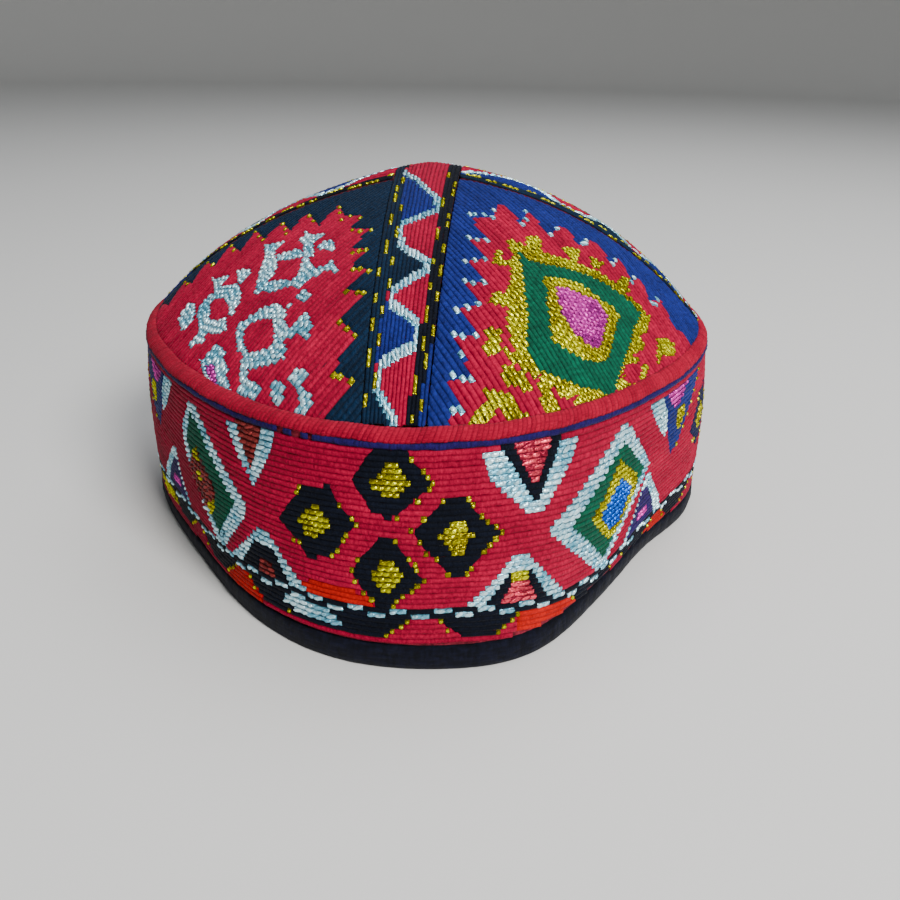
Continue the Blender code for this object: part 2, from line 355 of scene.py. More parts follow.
CLUSTER = [
    area("black", (-3.9, 56), (3.5, 56), (4.3, 53.3), (6.9, 51.1), (8.9, 48.1), (8.2, 46.6),
         (5.8, 44.4), (3.6, 42.4), (1.1, 40), (-0.8, 39.1), (-2.6, 40.2), (-5.3, 41.1), (-6, 43.3),
         (-8, 45.4), (-9.4, 47.9), (-7.7, 50.7), (-6.2, 53.4)),
    area("gold", (-1.6, 52.3), (1.3, 52.4), (2.4, 50.3), (4.7, 48.1), (3.2, 46.6), (1, 44.2),
         (-1.6, 44.1), (-2.7, 45.9), (-4.6, 46.1), (-5.3, 48), (-2.7, 49.7)),
    area("black", (-22.3, 44.4), (-14.7, 45.3), (-12.6, 41.3), (-9.8, 38.5), (-8.5, 36.6), (-11, 33.2),
         (-13.8, 28.5), (-18, 26.9), (-21, 26.9), (-22.8, 29.1), (-25.1, 31.5), (-28.9, 34.4),
         (-25.5, 39.3), (-23.2, 42.2)),
    area("gold", (-20.5, 39.3), (-17.5, 39.8), (-16.3, 37.8), (-14, 35.9), (-16.2, 33.8), (-18.4, 32.1),
         (-21.4, 32.3), (-22.1, 34), (-23.6, 35.6), (-21.4, 37.4)),
    area("black", (12.4, 43.9), (17.3, 43.9), (19.6, 40.7), (22.8, 37.6), (25.7, 35), (23.3, 32.5),
         (20.5, 29.9), (18.2, 27.1), (16.7, 24.6), (13.7, 24.6), (11.8, 27.6), (9.2, 30.6), (7, 33.1),
         (5.1, 36.3), (7.3, 39), (10.6, 42.4)),
    area("gold", (13.9, 39.3), (17, 39.3), (17.7, 36.5), (19.7, 35), (17.4, 33.7), (16.7, 30.3),
         (14, 30.3), (12.5, 33.6), (9.9, 36.2), (12.8, 36.9)),
    area("black", (-3, 34), (0.6, 34.2), (2.6, 31.4), (4.8, 27.8), (7.4, 24.4), (4.8, 21.5),
         (2.2, 19.2), (0.4, 16.4), (-3, 15.5), (-4.1, 18.2), (-6.7, 21.3), (-9, 24.8), (-7.5, 28.4),
         (-5.2, 31.1)),
    area("gold", (-2.6, 28.6), (0.7, 28.8), (1.9, 26.8), (3.3, 25.2), (1.5, 23), (0, 21.2),
         (-2.2, 21.3), (-4.1, 23.8), (-4.8, 25), (-3, 26.9)),
]
CLUSTER += dots(
    "gold", 0.55, (-22.7, 43.9), (-23.4, 42.2), (-12.4, 41.3), (-9.2, 38.2), (-8, 36.6), (-10.5, 33.2),
    (-11.3, 31.8), (-12.7, 29.9), (-14, 28.2), (-24.6, 30.3), (-22.8, 29.1), (4.6, 53.7), (7.3, 51.1),
    (8.3, 49.6), (9.5, 47.5), (8.6, 46.1), (6.1, 44), (1.4, 39.9), (12, 43.9), (7.5, 39.5), (4.5, 36.5),
    (6.6, 33.2), (8, 31.3), (10.5, 29.5), (13.1, 25.4), (17.4, 25.7), (18.4, 27.1), (21.5, 30.4),
    (22.9, 32), (24.3, 33.6), (26, 35), (24.6, 36.3), (22.4, 37.8), (21, 39.8), (19, 41.6),
    (17.8, 43.1), (-7.8, 28.2), (-9.2, 25), (-8.3, 23.1), (-6.4, 19.7), (-4.4, 18.2), (0.8, 16.9),
    (1.4, 18.5), (2.9, 20.1), (5, 21.7), (6.1, 22.9), (7.8, 24.4), (5.9, 26.6), (5.6, 27.8),
    (4.2, 30.3), (1, 33.5),
)

VEE = [
    area("silver", (-13.6, 54.6), (13.6, 54.6), (11, 49.4), (1.8, 38.4), (-1.6, 38.4), (-11.6, 47.6)),
    area("black", (-8.9, 55), (8, 55), (0.9, 41.8), (-0.6, 41.8)),
    area("coral", (-5.4, 55), (4.9, 55), (0.6, 45.2), (-0.5, 45.2)),
]
LAMBDA = [
    area("silver", (-1, 29.6), (1.5, 29.6), (8.5, 22), (15.6, 15), (-14.8, 15), (-7.5, 22)),
    area("black", (-2.4, 24.4), (3.4, 24.4), (9.4, 15), (-9.4, 15)),
    area("gold", (-1.9, 24.8), (2.6, 24.8), (2.6, 21.9), (-1.9, 21.9)),
    area("coral", (-1.6, 21.9), (2.4, 21.9), (6.2, 15), (-5.8, 15)),
]
RHOMBUS = [
    area("silver", (3.2, 53), (6.4, 51.6), (19, 36.9), (15, 29.5), (0.4, 15), (-2, 15.4), (-23.4, 33.4),
         (-22, 34.8)),
    area("green", (4.4, 48.2), (16.4, 36.4), (6, 25), (0.2, 18.8), (-15.6, 33), (-6, 40.6)),
    area("gold", (3.2, 44.4), (5.4, 42.2), (13, 36.2), (13.4, 32), (8, 25.6), (2.4, 22.6), (-3.8, 28.2),
         (-8, 32.4), (-3, 36.6)),
    area("blue_foil", (4.8, 38.8), (10.8, 33.6), (6.6, 26.8), (0.8, 26.8), (-3.8, 32)),
]

LEFT_VEE = [
    area("silver", (-47.6, 54.6), (-30.1, 55.4), (-32, 49), (-35.4, 43), (-37, 40), (-38.6, 42.8),
         (-41.9, 45.9), (-44.9, 49.4)),
    area("bronze", (-43.6, 55), (-34.4, 55), (-37, 47), (-38, 44.6), (-39.8, 47.6)),
]
LEFT_LAMBDA = [
    area("silver", (-35.6, 29.6), (-33.1, 29.6), (-26.1, 22), (-19, 15), (-49.4, 15), (-42.1, 22)),
    area("black", (-37.4, 25.2), (-31.2, 25.2), (-25.2, 15), (-44, 15)),
    area("bronze", (-35.6, 20.6), (-31.8, 20.6), (-30.6, 16.8), (-36.6, 16.8)),
]
LEFT_RHOMBUS = [
    area("silver", (-65.4, 53), (-61.5, 52.5), (-40, 34), (-40.4, 30), (-52, 15.6), (-55.5, 16),
         (-71, 40), (-71, 44)),
    area("green", (-65.4, 49.6), (-61.4, 48.4), (-44.4, 32.2), (-53.8, 19.4), (-68.6, 40.5)),
    area("bronze", (-65, 39.6), (-62, 40.2), (-54, 33.4), (-53.4, 30.4), (-57.5, 24), (-60.4, 24.6),
         (-68.5, 33)),
    area("gold", (-65, 40.6), (-62, 41), (-61, 37.4), (-64.6, 37)),
    area("gold", (-58.6, 26.4), (-54.6, 29), (-53.4, 27.6), (-57.4, 22.6)),
    area("gold", (-63.4, 34.4), (-61.4, 34.4), (-60, 31.6), (-62, 31.6)),
]
SIDE_VEE = [
    area("silver", (-18.4, 54.8), (-11.5, 54.8), (-7, 49), (-3.6, 43.4), (-7, 42), (-10, 44.4),
         (-14.6, 50)),
    area("royal", (-11.5, 54.8), (16, 54.8), (14, 50), (4, 36), (0, 33.5), (-2.6, 38), (-6, 44),
         (-7, 49)),
    area("pink_foil", (-9, 54.8), (6, 54.8), (2, 49.5), (-1.5, 48.3), (-4.5, 50)),
    area("gold", (0, 46.5), (5, 47), (6.5, 43.5), (3, 39.5), (0.6, 42)),
]
SIDE_VEE += dots(
    "gold", 0.6, (15.6, 53), (14.6, 50.2), (12.8, 47.4), (11, 45), (8.8, 41.8), (6.6, 38.8),
    (3.4, 35.2),
)
SIDE_LAMBDA = [
    area("silver", (-4.4, 33), (-2.2, 33), (3, 27), (8.4, 21), (11, 16.4), (-11, 16.4), (-7, 24)),
    area("violet", (-4.6, 29.6), (-2.4, 29.6), (3.4, 22.6), (7.4, 16.4), (-9, 16.4)),
    area("pink_foil", (-3.8, 22.6), (0.6, 22.6), (2.6, 18.6), (-4.4, 18.6)),
]
HALF_LOZENGE = [
    area("black", (-9.6, 13.8), (10.4, 13.8), (7, 10.6), (4, 8.6), (-4, 8.6), (-7, 10.8)),
    *dots("gold", 0.5, (9.6, 12.6), (8.2, 11.2), (6.2, 9.8), (4.8, 8.8), (-9, 12.4), (-7.4, 10.6)),
]

BAND_GROUND = (-300, 300, 0, 60)
LOZENGE_ARCS = (
    -256, -231, -206, -181, -156, -131, -106, -81, -56.4, -31.4, -5.8,
    20.5, 57, 82, 107, 132, 157, 182, 207, 232, 257, 280,
)
ORANGE_SPANS = ((30, 50), (-52, -36), (88, 102), (-124, -110), (138, 152), (-200, -186), (238, 252))
# Figures of the sides and back, as far from the front to the left as to the right; "left"
# and "right" give the threads that are changed there
NAVY_GROUND = {"black": "navy"}
SIDE_FIGURES = (
    {"chart": SIDE_VEE, "arc": 94, "mirrored": "left"},
    {"chart": SIDE_VEE, "arc": 180, "mirrored": "right"},
    {"chart": SIDE_LAMBDA, "arc": 84, "mirrored": "left"},
    {"chart": SIDE_LAMBDA, "arc": 190, "mirrored": "right"},
    {"chart": CLUSTER, "arc": 137, "mirrored": "left", "left": NAVY_GROUND, "right": NAVY_GROUND},
    {"chart": RHOMBUS, "arc": 213, "mirrored": "right", "left": {"blue_foil": "coral"}},
    {"chart": VEE, "arc": 246, "mirrored": "neither"},
    {"chart": LAMBDA, "arc": 249, "mirrored": "neither"},
)
DASH_PERIOD = 10.2
DASH_LENGTH = 4.1
DASH_COUNT = 28
# The border's silver dashes: two rows, the lower one half a period on
DASH_ROWS = (
    {"shift": -0.3, "bottom": 15.1, "top": 16.3},
    {"shift": 0.5 * DASH_PERIOD - 0.3, "bottom": 13.7, "top": 14.9},
)


def chart_band():
    """Chart of the whole band, from the ground colour to the border's dashes."""
    chart = [box("crimson", *BAND_GROUND)]
    for low, high in ORANGE_SPANS:
        chart.append(box("orange", low, high, 3, 13.6))
    for arc in LOZENGE_ARCS:
        chart += moved(HALF_LOZENGE, arc)
    chart += [
        area("orange", (-24.5, 19.4), (-15, 20.6), (-5.4, 19.6), (-3.7, 16.4), (-24.5, 16.4)),
        area("black", (-29, 14), (-9, 14), (-7, 8.6), (-26, 8.6)),
        area("silver", (-27.4, 14), (-16.5, 14), (-13.2, 11.6), (-11, 9.4), (-20, 9.4), (-28.5, 10.6)),
        area("gold", (-105, 14), (-88, 14), (-86, 9), (-100, 8.6)),
    ]
    chart += moved(VEE, 34.6) + moved(LAMBDA, 30.2) + LEFT_VEE + LEFT_LAMBDA
    chart += moved(RHOMBUS, 61.4) + LEFT_RHOMBUS + CLUSTER
    for side, sign, back in (("left", -1.0, BACK_ARC[0]), ("right", 1.0, BACK_ARC[1])):
        for row in SIDE_FIGURES:
            mirror = row["mirrored"] == side
            chart += moved(row["chart"], sign * row["arc"], mirror, row.get(side, {}))
        chart += moved(CLUSTER, back)
    chart.append(box("black", *BAND_GROUND[:2], 13.6, 16.4))
    for step in range(-DASH_COUNT, DASH_COUNT + 1):
        for row in DASH_ROWS:
            start = step * DASH_PERIOD + row["shift"]
            chart.append(box("silver", start, start + DASH_LENGTH, row["bottom"], row["top"]))
    return chart


RIGHT_GORE = [
    box("royal", 0, 120, -80, 80),
    area("crimson", (28, 1.4), (31.9, 2.7), (36.9, 1.3), (33.4, 7.5), (36.4, 7.8), (40.8, 6.4),
         (42.7, 7), (39.6, 13.3), (41.6, 15), (47, 13.7), (45.5, 20), (47.1, 22.2), (50.8, 21.5),
         (53.9, 20.2), (51.6, 26.1), (53.6, 26.6), (58.9, 23.4), (57.4, 28.1), (59.4, 29.1),
         (64.1, 26.2), (63.3, 32.6), (65.4, 32.3), (71, 29.7), (71.3, 32.5), (72.5, 33.3), (100, 40),
         (100, -56), (74, -53), (70.4, -51.9), (68.7, -51.3), (70.6, -48.4), (67.6, -48.2),
         (64.1, -47.4), (66.7, -42.7), (61.9, -41.3), (57.8, -41.1), (60.6, -35.4), (57, -35.6),
         (53.5, -35.3), (55.1, -30), (51.8, -30.5), (48.8, -29.9), (50.9, -24.2), (47.8, -24.5),
         (43.9, -24), (45.4, -18.6), (41.4, -19.2), (37.9, -19), (39.6, -13.3), (35.7, -12.9),
         (31.8, -11.5), (33.1, -5)),
    area("gold", (43.6, -7), (44.1, -4.6), (45.4, -1.3), (48.1, 0.7), (50.2, 4.6), (52.7, 8.8),
         (55.1, 13.2), (58.4, 16), (62, 18.1), (64.9, 20.2), (68.1, 21.3), (70.9, 17.1), (72.4, 12),
         (74.1, 7.9), (76.1, 4.3), (77.6, 0), (79.5, -4.6), (81.8, -9.2), (82.9, -11.3), (83.2, -15.1),
         (82.7, -18), (80.3, -18.8), (78.4, -21.2), (76.7, -22.7), (74.4, -25.8), (72.9, -27.4),
         (70.6, -29.3), (67.6, -30), (65.9, -30), (62.8, -28.6), (59.9, -26.3), (57.6, -23.7),
         (55.9, -23.7), (53.8, -19.6), (51.2, -16), (48, -13)),
    area("gold", (41.7, -8.1), (41.5, -6.7), (43.5, -4.7), (46, -5.9), (46.7, -10), (44.6, -10.2)),
    area("gold", (41.4, -0.8), (42.1, 2), (44.2, 2.6), (45, 0.9), (48.2, -1.8), (47.7, -4.8),
         (44.7, -4.1)),
    area("gold", (46.3, 7.5), (47.4, 10), (48.5, 12.7), (51.3, 9), (53.3, 6.2), (51.8, 5.4),
         (49.5, 6.6)),
    area("gold", (50.9, 14.3), (51.8, 16.9), (53.5, 17.3), (54.7, 13.7), (54, 11.8)),
    area("gold", (57.1, 21.7), (57.8, 24.4), (60, 21.1), (61.6, 19.8), (61.5, 16.6), (58.9, 16.8)),
    area("gold", (47.1, -18.3), (45.1, -16.2), (43.8, -13.4), (45.4, -13.5), (47.1, -14.8),
         (47.2, -12.2), (48.8, -12), (49.2, -14.2), (47.9, -17.2)),
    area("gold", (55.6, -28), (54.1, -25.1), (53.9, -23.3), (55.7, -23), (57, -21.6), (58.2, -24.3)),
    area("gold", (60.1, -33.3), (60.2, -31.7), (61.9, -30), (63.6, -31.3), (65.4, -33), (65.5, -35),
         (65, -36.9), (63.1, -37), (62.2, -34.5)),
    area("gold", (64.9, -32.5), (65.5, -31.1), (69.2, -29.5), (72.4, -27), (73.3, -28.9), (71, -30.7),
         (68.4, -32.3), (66.5, -32.9)),
    area("gold", (67.8, -34.6), (68.3, -33.7), (70.2, -32), (72.5, -31.1), (74.6, -30.6), (74.3, -33.7),
         (72.5, -34.1), (71.7, -36.8), (69.8, -37.4), (68.6, -35.8)),
    area("gold", (69.3, -42), (70.1, -40.6), (71.7, -38.7), (73.2, -36.7), (75.2, -36.6), (76.4, -37.2),
         (77.1, -35.5), (78.6, -36.1), (78.8, -37.5), (77.4, -40.5), (75.7, -40.4), (73.6, -40.4),
         (73.5, -41.8), (74.4, -43), (74.3, -45.7), (74.4, -47.1), (72.7, -49.8), (72.1, -49.3),
         (71.9, -46.8), (71.1, -45.6), (71.6, -44.2), (71.1, -42.4)),
    area("gold", (73.1, -27.7), (74.1, -24.9), (76.3, -26.6), (77.9, -26.6), (79.9, -27), (81.6, -28.1),
         (81, -29.6), (80, -32.2), (78.2, -31.5), (75.7, -30.1), (73.8, -29.3)),
    area("gold", (82.1, -23.9), (81.2, -23), (79.9, -22.2), (79, -19.1), (80.3, -14.3), (82.7, -11),
         (83, -14.9), (83.4, -17.6), (83.4, -21.5)),
    area("gold", (74.2, -25.5), (76.4, -20.3), (78.8, -20), (79.4, -22.8), (78.8, -24.8),
         (77.1, -25.3)),
    area("gold", (79.4, -5.1), (79.2, -2.4), (80.7, -3.5), (81.5, -0.6), (82.5, -2.4), (82, -8.5),
         (80.3, -7.3)),
    area("gold", (75.8, 2.1), (76.5, 7.1), (77.7, 5.1), (77.3, 0.4)),
    area("gold", (77.9, 6.8), (78.8, 8.4), (81, 4.5), (81.2, 1.6)),
    area("gold", (73.2, 18.6), (73, 22.6), (74.4, 24.5), (76.6, 23.3), (77.6, 20.5), (77, 16.1),
         (78.9, 13.1), (78.5, 12.2)),
    area("gold", (65.7, 19.2), (68.1, 21.7), (71.6, 15.7), (72, 12.4), (75.2, 11.3), (75.6, 5.5),
         (74.2, 5.8), (71.2, 10.7)),
    area("green", (45.5, -8.3), (48.8, -7), (51.1, -2.3), (53.4, 3.6), (55.9, 8.4), (59.5, 13.5),
         (63.1, 16.7), (67.2, 18.8), (70.2, 11.9), (73.3, 6.9), (76.9, 0.2), (79.8, -6.2), (82.3, -10),
         (81.1, -12.3), (80, -12.8), (78.3, -18.4), (76.9, -19.7), (75, -23.1), (72.3, -26.3),
         (68.9, -27.7), (65.8, -25.3), (62.6, -21.6), (58.4, -18.2), (53.5, -13.9), (49.2, -10.2)),
    area("gold", (54, -7.3), (54.6, -3.6), (55.8, -0.1), (57.4, 3.1), (59.9, 5.4), (63, 7), (64.9, 9.9),
         (67.2, 9.3), (70.3, 3.8), (73, -0.4), (75.1, -4.6), (75.1, -8.8), (73.9, -12.1), (72, -14.6),
         (70, -17.1), (68.2, -18.6), (65.1, -16.5), (62.6, -14.1), (59.5, -12), (57.6, -9),
         (55.8, -9.4)),
    area("pink_foil", (56.9, -5.4), (57.9, -2.3), (60.2, 1.3), (62.3, 5.2), (65.1, 4.6), (66.7, 4.8),
         (69.8, 0.1), (72.6, -4.8), (72.1, -7.3), (69.6, -9.3), (66.4, -10.6), (63.5, -9.9),
         (59.9, -7.9)),
]
RIGHT_GORE += dots(
    "silver", 0.75, (53.4, -35.5), (54.1, -32.9), (54.7, -30.3), (57.4, -41), (58.7, -38.3),
    (60.1, -36), (61.7, -42.2), (63.7, -46.4), (65.4, -45.1), (66.4, -42.9), (68.6, -50.8),
    (69.5, -48.9), (48.4, -29.8), (49.6, -27.2), (50.6, -25), (43.8, -24.2), (44.5, -22.2),
    (45.1, -19.8), (37.6, -18.4), (39.3, -16), (40.1, -14), (30.1, -11.4), (30.5, -9.2), (31.3, -6.9),
    (33.1, -5), (30.5, -2.4), (35.9, 4.6), (37.3, 1.5), (32.9, 7.4), (40.6, 11.3), (42.4, 7.5),
    (45.5, 19), (46.4, 17.2), (46.6, 15.4), (53.4, 20.8), (52.2, 24.3), (58.7, 24.1), (57.5, 27),
    (64.3, 26.7), (64.7, 28.1), (63.2, 31.1),
)

LEFT_GORE = [
    box("ink_teal", 0, 120, -80, 80),
    area("crimson", (100, -56), (74, -51), (71.5, -49.6), (63.8, -48.6), (65.8, -43.5), (57.5, -42.2),
         (57.6, -35.5), (49.4, -35.5), (51.4, -29.9), (44.4, -30.6), (46.2, -25.1), (40.2, -23.8),
         (42.1, -18.2), (34.4, -17.6), (36.6, -11.2), (31.2, -8.6), (32.7, -3.1), (29.1, 4.8),
         (33.4, 3.5), (38.1, 1.4), (34.8, 11.5), (38.1, 11.6), (41.8, 9.9), (39.4, 18.6), (42.6, 18.2),
         (46.5, 16.5), (42.8, 28.3), (47.5, 24.6), (51.6, 22.1), (48.4, 34.5), (53.3, 30.9), (57, 28.5),
         (54.5, 39.5), (59.5, 36), (62.5, 33.5), (60.5, 43.5), (65.5, 40), (68.5, 38), (66.5, 47),
         (72, 44), (100, 44)),
    area("silver", (59.1, 0.4), (54.5, 5.4), (52, 7.4), (51.5, 2.2), (53.2, -1.4), (55.3, -2.6),
         (57.8, -4), (58.1, -8.4), (60.3, -8.1), (60.3, -4.2), (61.9, -4.9), (61.5, -2.5)),
    area("silver", (48.3, 13.8), (47.7, 11.3), (45.4, 7.5), (46.6, 6.4), (48.3, 7.3), (50, 5.2),
         (51.5, 2.2), (52.4, 6.7), (50, 11)),
    area("silver", (50.3, 4), (46.6, -1.7), (47.5, -4.8), (48.7, -6.6), (50.4, -3.3), (51.9, 1.6)),
    area("silver", (43.8, 0.8), (43.9, -4.5), (47.5, -9.8), (48.7, -9), (50.7, -16), (52.9, -17.9),
         (54.5, -17.1), (56.7, -17.1), (56.6, -11), (53.8, -11.6), (51.5, -9.5), (49.1, -7.2)),
    area("silver", (57.8, -3.7), (55.6, -9.4), (55.4, -13.8), (57.5, -12.4), (60.4, -7.9)),
    area("silver", (44.2, 2.5), (41.1, 3.2), (41.3, -0.6), (40.3, -4), (42.7, -4.8), (44, -4),
         (45.2, -2.2)),
    area("silver", (45, -7.9), (43.2, -7.6), (41.3, -8.8), (43.8, -14.9), (45, -14.2), (44.7, -10.4),
         (45.9, -10.1)),
    area("silver", (51.9, -16.5), (49.6, -16.3), (47, -17.6), (48.4, -22.4), (49.6, -22.5),
         (49.4, -19.8), (51.2, -18.7), (52.7, -18.3)),
    area("silver", (70.5, -8.1), (68.3, -8), (66.5, -9.3), (64.1, -11), (61.7, -14.1), (61.8, -17.7),
         (62.2, -20.2), (63.9, -21.7), (64.9, -25.1), (68, -27.9), (68.4, -30.2), (70.2, -30.6),
         (72.7, -28.7), (75, -24.6), (76.7, -21.9), (76.4, -20.1), (73.9, -17.4), (74.1, -14.8),
         (72.5, -11.8)),
    area("crimson", (68.7, -10.9), (66.5, -13.6), (64.9, -17.8), (67.4, -22.2), (68.7, -24.5),
         (71.5, -23), (73.3, -19.2), (71.8, -14.2), (69.7, -11.4)),
    area("silver", (62.1, -18.1), (58.4, -18.3), (55.8, -18.4), (56.7, -23), (58.8, -23.5),
         (58.9, -19.2), (61.6, -19.4)),
    area("silver", (65.3, -25), (62.7, -26.1), (60.3, -26.3), (61.9, -31.8), (64.6, -32), (64.7, -29.1),
         (67.2, -27.3)),
    area("silver", (76.4, -20.1), (75.7, -23), (77.2, -24.8), (76.8, -27.4), (76.7, -31.1),
         (79.3, -31.9), (79.4, -28.3), (81, -27.5), (80.7, -25.2), (78.6, -23.7)),
    area("silver", (69.3, 15.8), (66.9, 16), (65.3, 16.4), (64.3, 14.9), (62.2, 19.6), (60.7, 23.4),
         (60.8, 19.5), (59, 15.6), (61.2, 14.7), (62.5, 14.8), (61.6, 11.4), (60.6, 8.3), (62.3, 3.4),
         (64.9, -0.6), (67.9, -1.3), (69.3, -0.6), (71.4, -4.4), (73.1, -2), (73.7, 2.5), (76.3, 1),
         (76.9, 5.7), (75.7, 7.1), (74.1, 6.7), (71.3, 12.9)),
    area("crimson", (67.6, 12.1), (66, 12.5), (65, 8.6), (66.7, 2.4), (68.6, -0.2), (70.3, 2.4),
         (70.7, 6.5)),
    area("silver", (57.4, 13.9), (56.4, 11.7), (55.9, 7.7), (58.5, 6.4), (60.4, 7.1), (60.6, 8.3)),
    area("silver", (77.5, 6.7), (76.3, 6.1), (77, 3.9), (78.6, 3)),
    area("silver", (72.7, 22.1), (70.4, 23.8), (68.4, 23.1), (68.1, 19.9), (71.2, 14.5), (73.7, 13.6),
         (75.6, 14.8)),
    area("silver", (79.5, -3.7), (77.4, -5.1), (75.6, -4), (74.8, -5.7), (75.4, -10.9), (76.8, -12.3),
         (77.4, -16.1), (79.1, -17.9), (79.8, -21.2), (81.5, -23.3), (83.1, -18.1), (82.5, -15.5),
         (81.8, -11.4)),
    area("pink_foil", (79.6, -7.4), (78.5, -10.1), (80, -14.1), (81.5, -17.4), (82.1, -15.6),
         (81.1, -11.6)),
    area("silver", (76.7, -34.2), (75.1, -33), (73.9, -33), (73.5, -36.3), (74.9, -37.6),
         (77.1, -37.5)),
    area("silver", (72.3, -36.1), (70, -35.1), (68.4, -38.6), (69.6, -39.3), (71.1, -39), (71.4, -41.1),
         (71, -44.1), (72.5, -45.1), (74.4, -45.4), (76.8, -42), (74.4, -42.6), (72.9, -41.1),
         (72.3, -39), (72.5, -37)),
]
LEFT_GORE += dots(
    "gold", 0.65, (29.9, 3.6), (32, -0.1), (34.5, -3.9), (32.1, -9.1), (32.4, -4.7), (34.8, -17.3),
    (36.3, -14.6), (36.9, -11.9), (40.5, -23.8), (41.6, -21.8), (42.9, -20.4), (44.9, -30.1),
    (45.5, -28), (46.6, -25.7), (49.6, -35.2), (50.5, -32.7), (51.7, -30.9), (57.8, -36.4),
    (57.8, -39.5), (57.6, -41.8), (65.9, -43.9), (65.1, -46), (64.1, -48.2), (35.3, 10.6), (36.9, 6.5),
    (40, 17.3), (41.7, 13.4), (43.2, 9.5), (43.6, 26.4), (45.4, 20.7), (46.6, 16.9), (49, 32.6),
    (51, 26.4), (54.8, 38.4), (56.4, 31.4), (61, 42), (62.4, 36.4),
)

# Silver zigzag of a ridge strip: distance from the apex, share of the half width
ZIGZAG = ((5, -0.75), (9.3, -0.6), (13.3, -0.3), (17.7, -0.06), (22, 0.22), (25.1, 0.49), (31.4, 0.53),
          (34.3, 0.12), (37.5, -0.41), (46.1, -0.38), (48.3, -0.11), (51.3, 0.5), (54.4, 0.5),
          (57.4, 0.04), (60.6, -0.44), (63.7, -0.47), (66, -0.06), (68.6, 0.44), (73.8, 0.4),
          (75.2, 0), (77.4, -0.5), (82.4, -0.62), (84.4, -0.4), (86.8, -0.1), (88.5, 0.06))
STRIP = [
    box("crimson", -100, 100, -1.1, 1.1),
    area("royal", (9, -0.9), (9.3, -0.6), (25.1, 0.49), (31.4, 0.53), (37.5, -0.41), (37.5, -0.9)),
    area("ink_teal", (43, -0.9), (46.1, -0.38), (51.3, 0.5), (54.4, 0.5), (60.6, -0.44), (60.6, -0.9)),
    area("royal", (62, -0.9), (63.7, -0.47), (68.6, 0.44), (73.8, 0.4), (77.4, -0.5), (77.4, -0.9)),
    area("ink_teal", (82, -1), (83, -0.6), (88.5, 0.06), (92, 0.1), (92, -1)),
    line("silver", 1.35, 0.078, *ZIGZAG),
    area("ink_teal", (-2, -1.1), (96, -1.1), (96, -0.82), (70, -0.72), (55, -0.52), (30, -0.55),
         (12, -0.72), (-2, -0.76)),
    area("black", (-2, 1.1), (-2, 0.56), (12, 0.62), (24, 0.64), (27, 0.6), (40, 0.7), (56, 0.62),
         (66, 0.6), (74, 0.48), (96, 0.38), (96, 1.1)),
    area("royal", (62, 1.1), (70, 0.98), (80, 0.82), (96, 0.68), (96, 1.1)),
]
GOLD_DASHES = (
    {"share": -0.84, "spans": ((16.4, 20.2), (21.6, 26.3), (32.5, 37.3), (43.7, 48.6))},
    {"share": -0.90, "spans": ((53.1, 55.9), (60.8, 63.4))},
    {"share": -0.94, "spans": ((67.3, 70.4), (74.2, 78.0), (82.8, 85.3))},
    {"share": -0.70, "spans": ((11.0, 15.4), (64.4, 66.6), (71.2, 73.9), (79.1, 82.3))},
    {"share": -0.60, "spans": ((28.4, 31.6), (38.6, 43.2), (50.0, 52.8), (57.0, 60.0))},
    {"share": 0.92, "spans": ((13.6, 17.6), (18.8, 22.8), (31.9, 34.4), (35.8, 38.3), (44.8, 48.0))},
    {"share": 0.92, "spans": ((52.0, 55.8), (60.3, 62.8), (68.5, 71.0))},
    {"share": 0.80, "spans": ((74.8, 78.0), (83.5, 85.8))},
    {"share": 0.70, "spans": ((7.7, 11.6), (24.6, 29.4), (39.5, 43.6), (50.4, 52.0), (57.6, 59.9))},
    {"share": 0.68, "spans": ((64.0, 68.1), (71.5, 74.4))},
    {"share": 0.52, "spans": ((79.4, 83.1), (86.4, 88.0))},
)


def strip_rib(share):
    """Middle of the strip rib that a share of the half width falls on."""
    pitch = 2.0 / STRIP_RIBS
    return (math.floor(share / pitch) + 0.5) * pitch


DASH_HALF_WIDTH = 0.9 / STRIP_RIBS
for row in GOLD_DASHES:
    middle = strip_rib(row["share"])
    for start, end in row["spans"]:
        STRIP.append(box("gold", start, end, middle - DASH_HALF_WIDTH, middle + DASH_HALF_WIDTH))


def inside_area(corners, u, w):
    """Whether points lie in a closed area."""
    found = np.zeros(u.shape, bool)
    following = np.roll(corners, -1, axis=0)
    for (u0, w0), (u1, w1) in zip(corners, following):
        crosses = (w0 > w) != (w1 > w)
        if w0 == w1 or not crosses.any():
            continue
        found ^= crosses & (u < u0 + (w - w0) * (u1 - u0) / (w1 - w0))
    return found


def near_line(points, half, u, w):
    """Whether points lie on a line of some thickness."""
    found = np.zeros(u.shape, bool)
    spot = np.stack([u / half[0], w / half[1]], -1)
    ends = points / np.array(half)
    for start, end in zip(ends[:-1], ends[1:]):
        way = end - start
        share = np.clip(((spot - start) @ way) / (way @ way), 0.0, 1.0)
        found |= np.linalg.norm(spot - start - share[..., None] * way, axis=-1) < 1.0
    return found


def paint(chart, u, w):
    """Thread of a chart at each point."""
    found = np.full(u.shape, THREAD_NAMES.index(chart[0]["thread"]))
    for entry in chart[1:]:
        if "corners" in entry:
            corners = entry["corners"]
            if w.max() < corners[:, 1].min() or w.min() > corners[:, 1].max():
                continue
            mask = inside_area(corners, u, w)
        else:
            mask = near_line(entry["points"], entry["half"], u, w)
        found[mask] = THREAD_NAMES.index(entry["thread"])
    return found


FLOSS_THREADS = ("crimson", "orange", "black", "ink_teal", "royal", "navy", "violet", "green")
METAL_THREADS = ("silver", "gold", "coral", "bronze", "pink_foil", "blue_foil")
THREAD_NAMES = [*FLOSS_THREADS, *METAL_THREADS]
FIRST_METAL = len(FLOSS_THREADS)

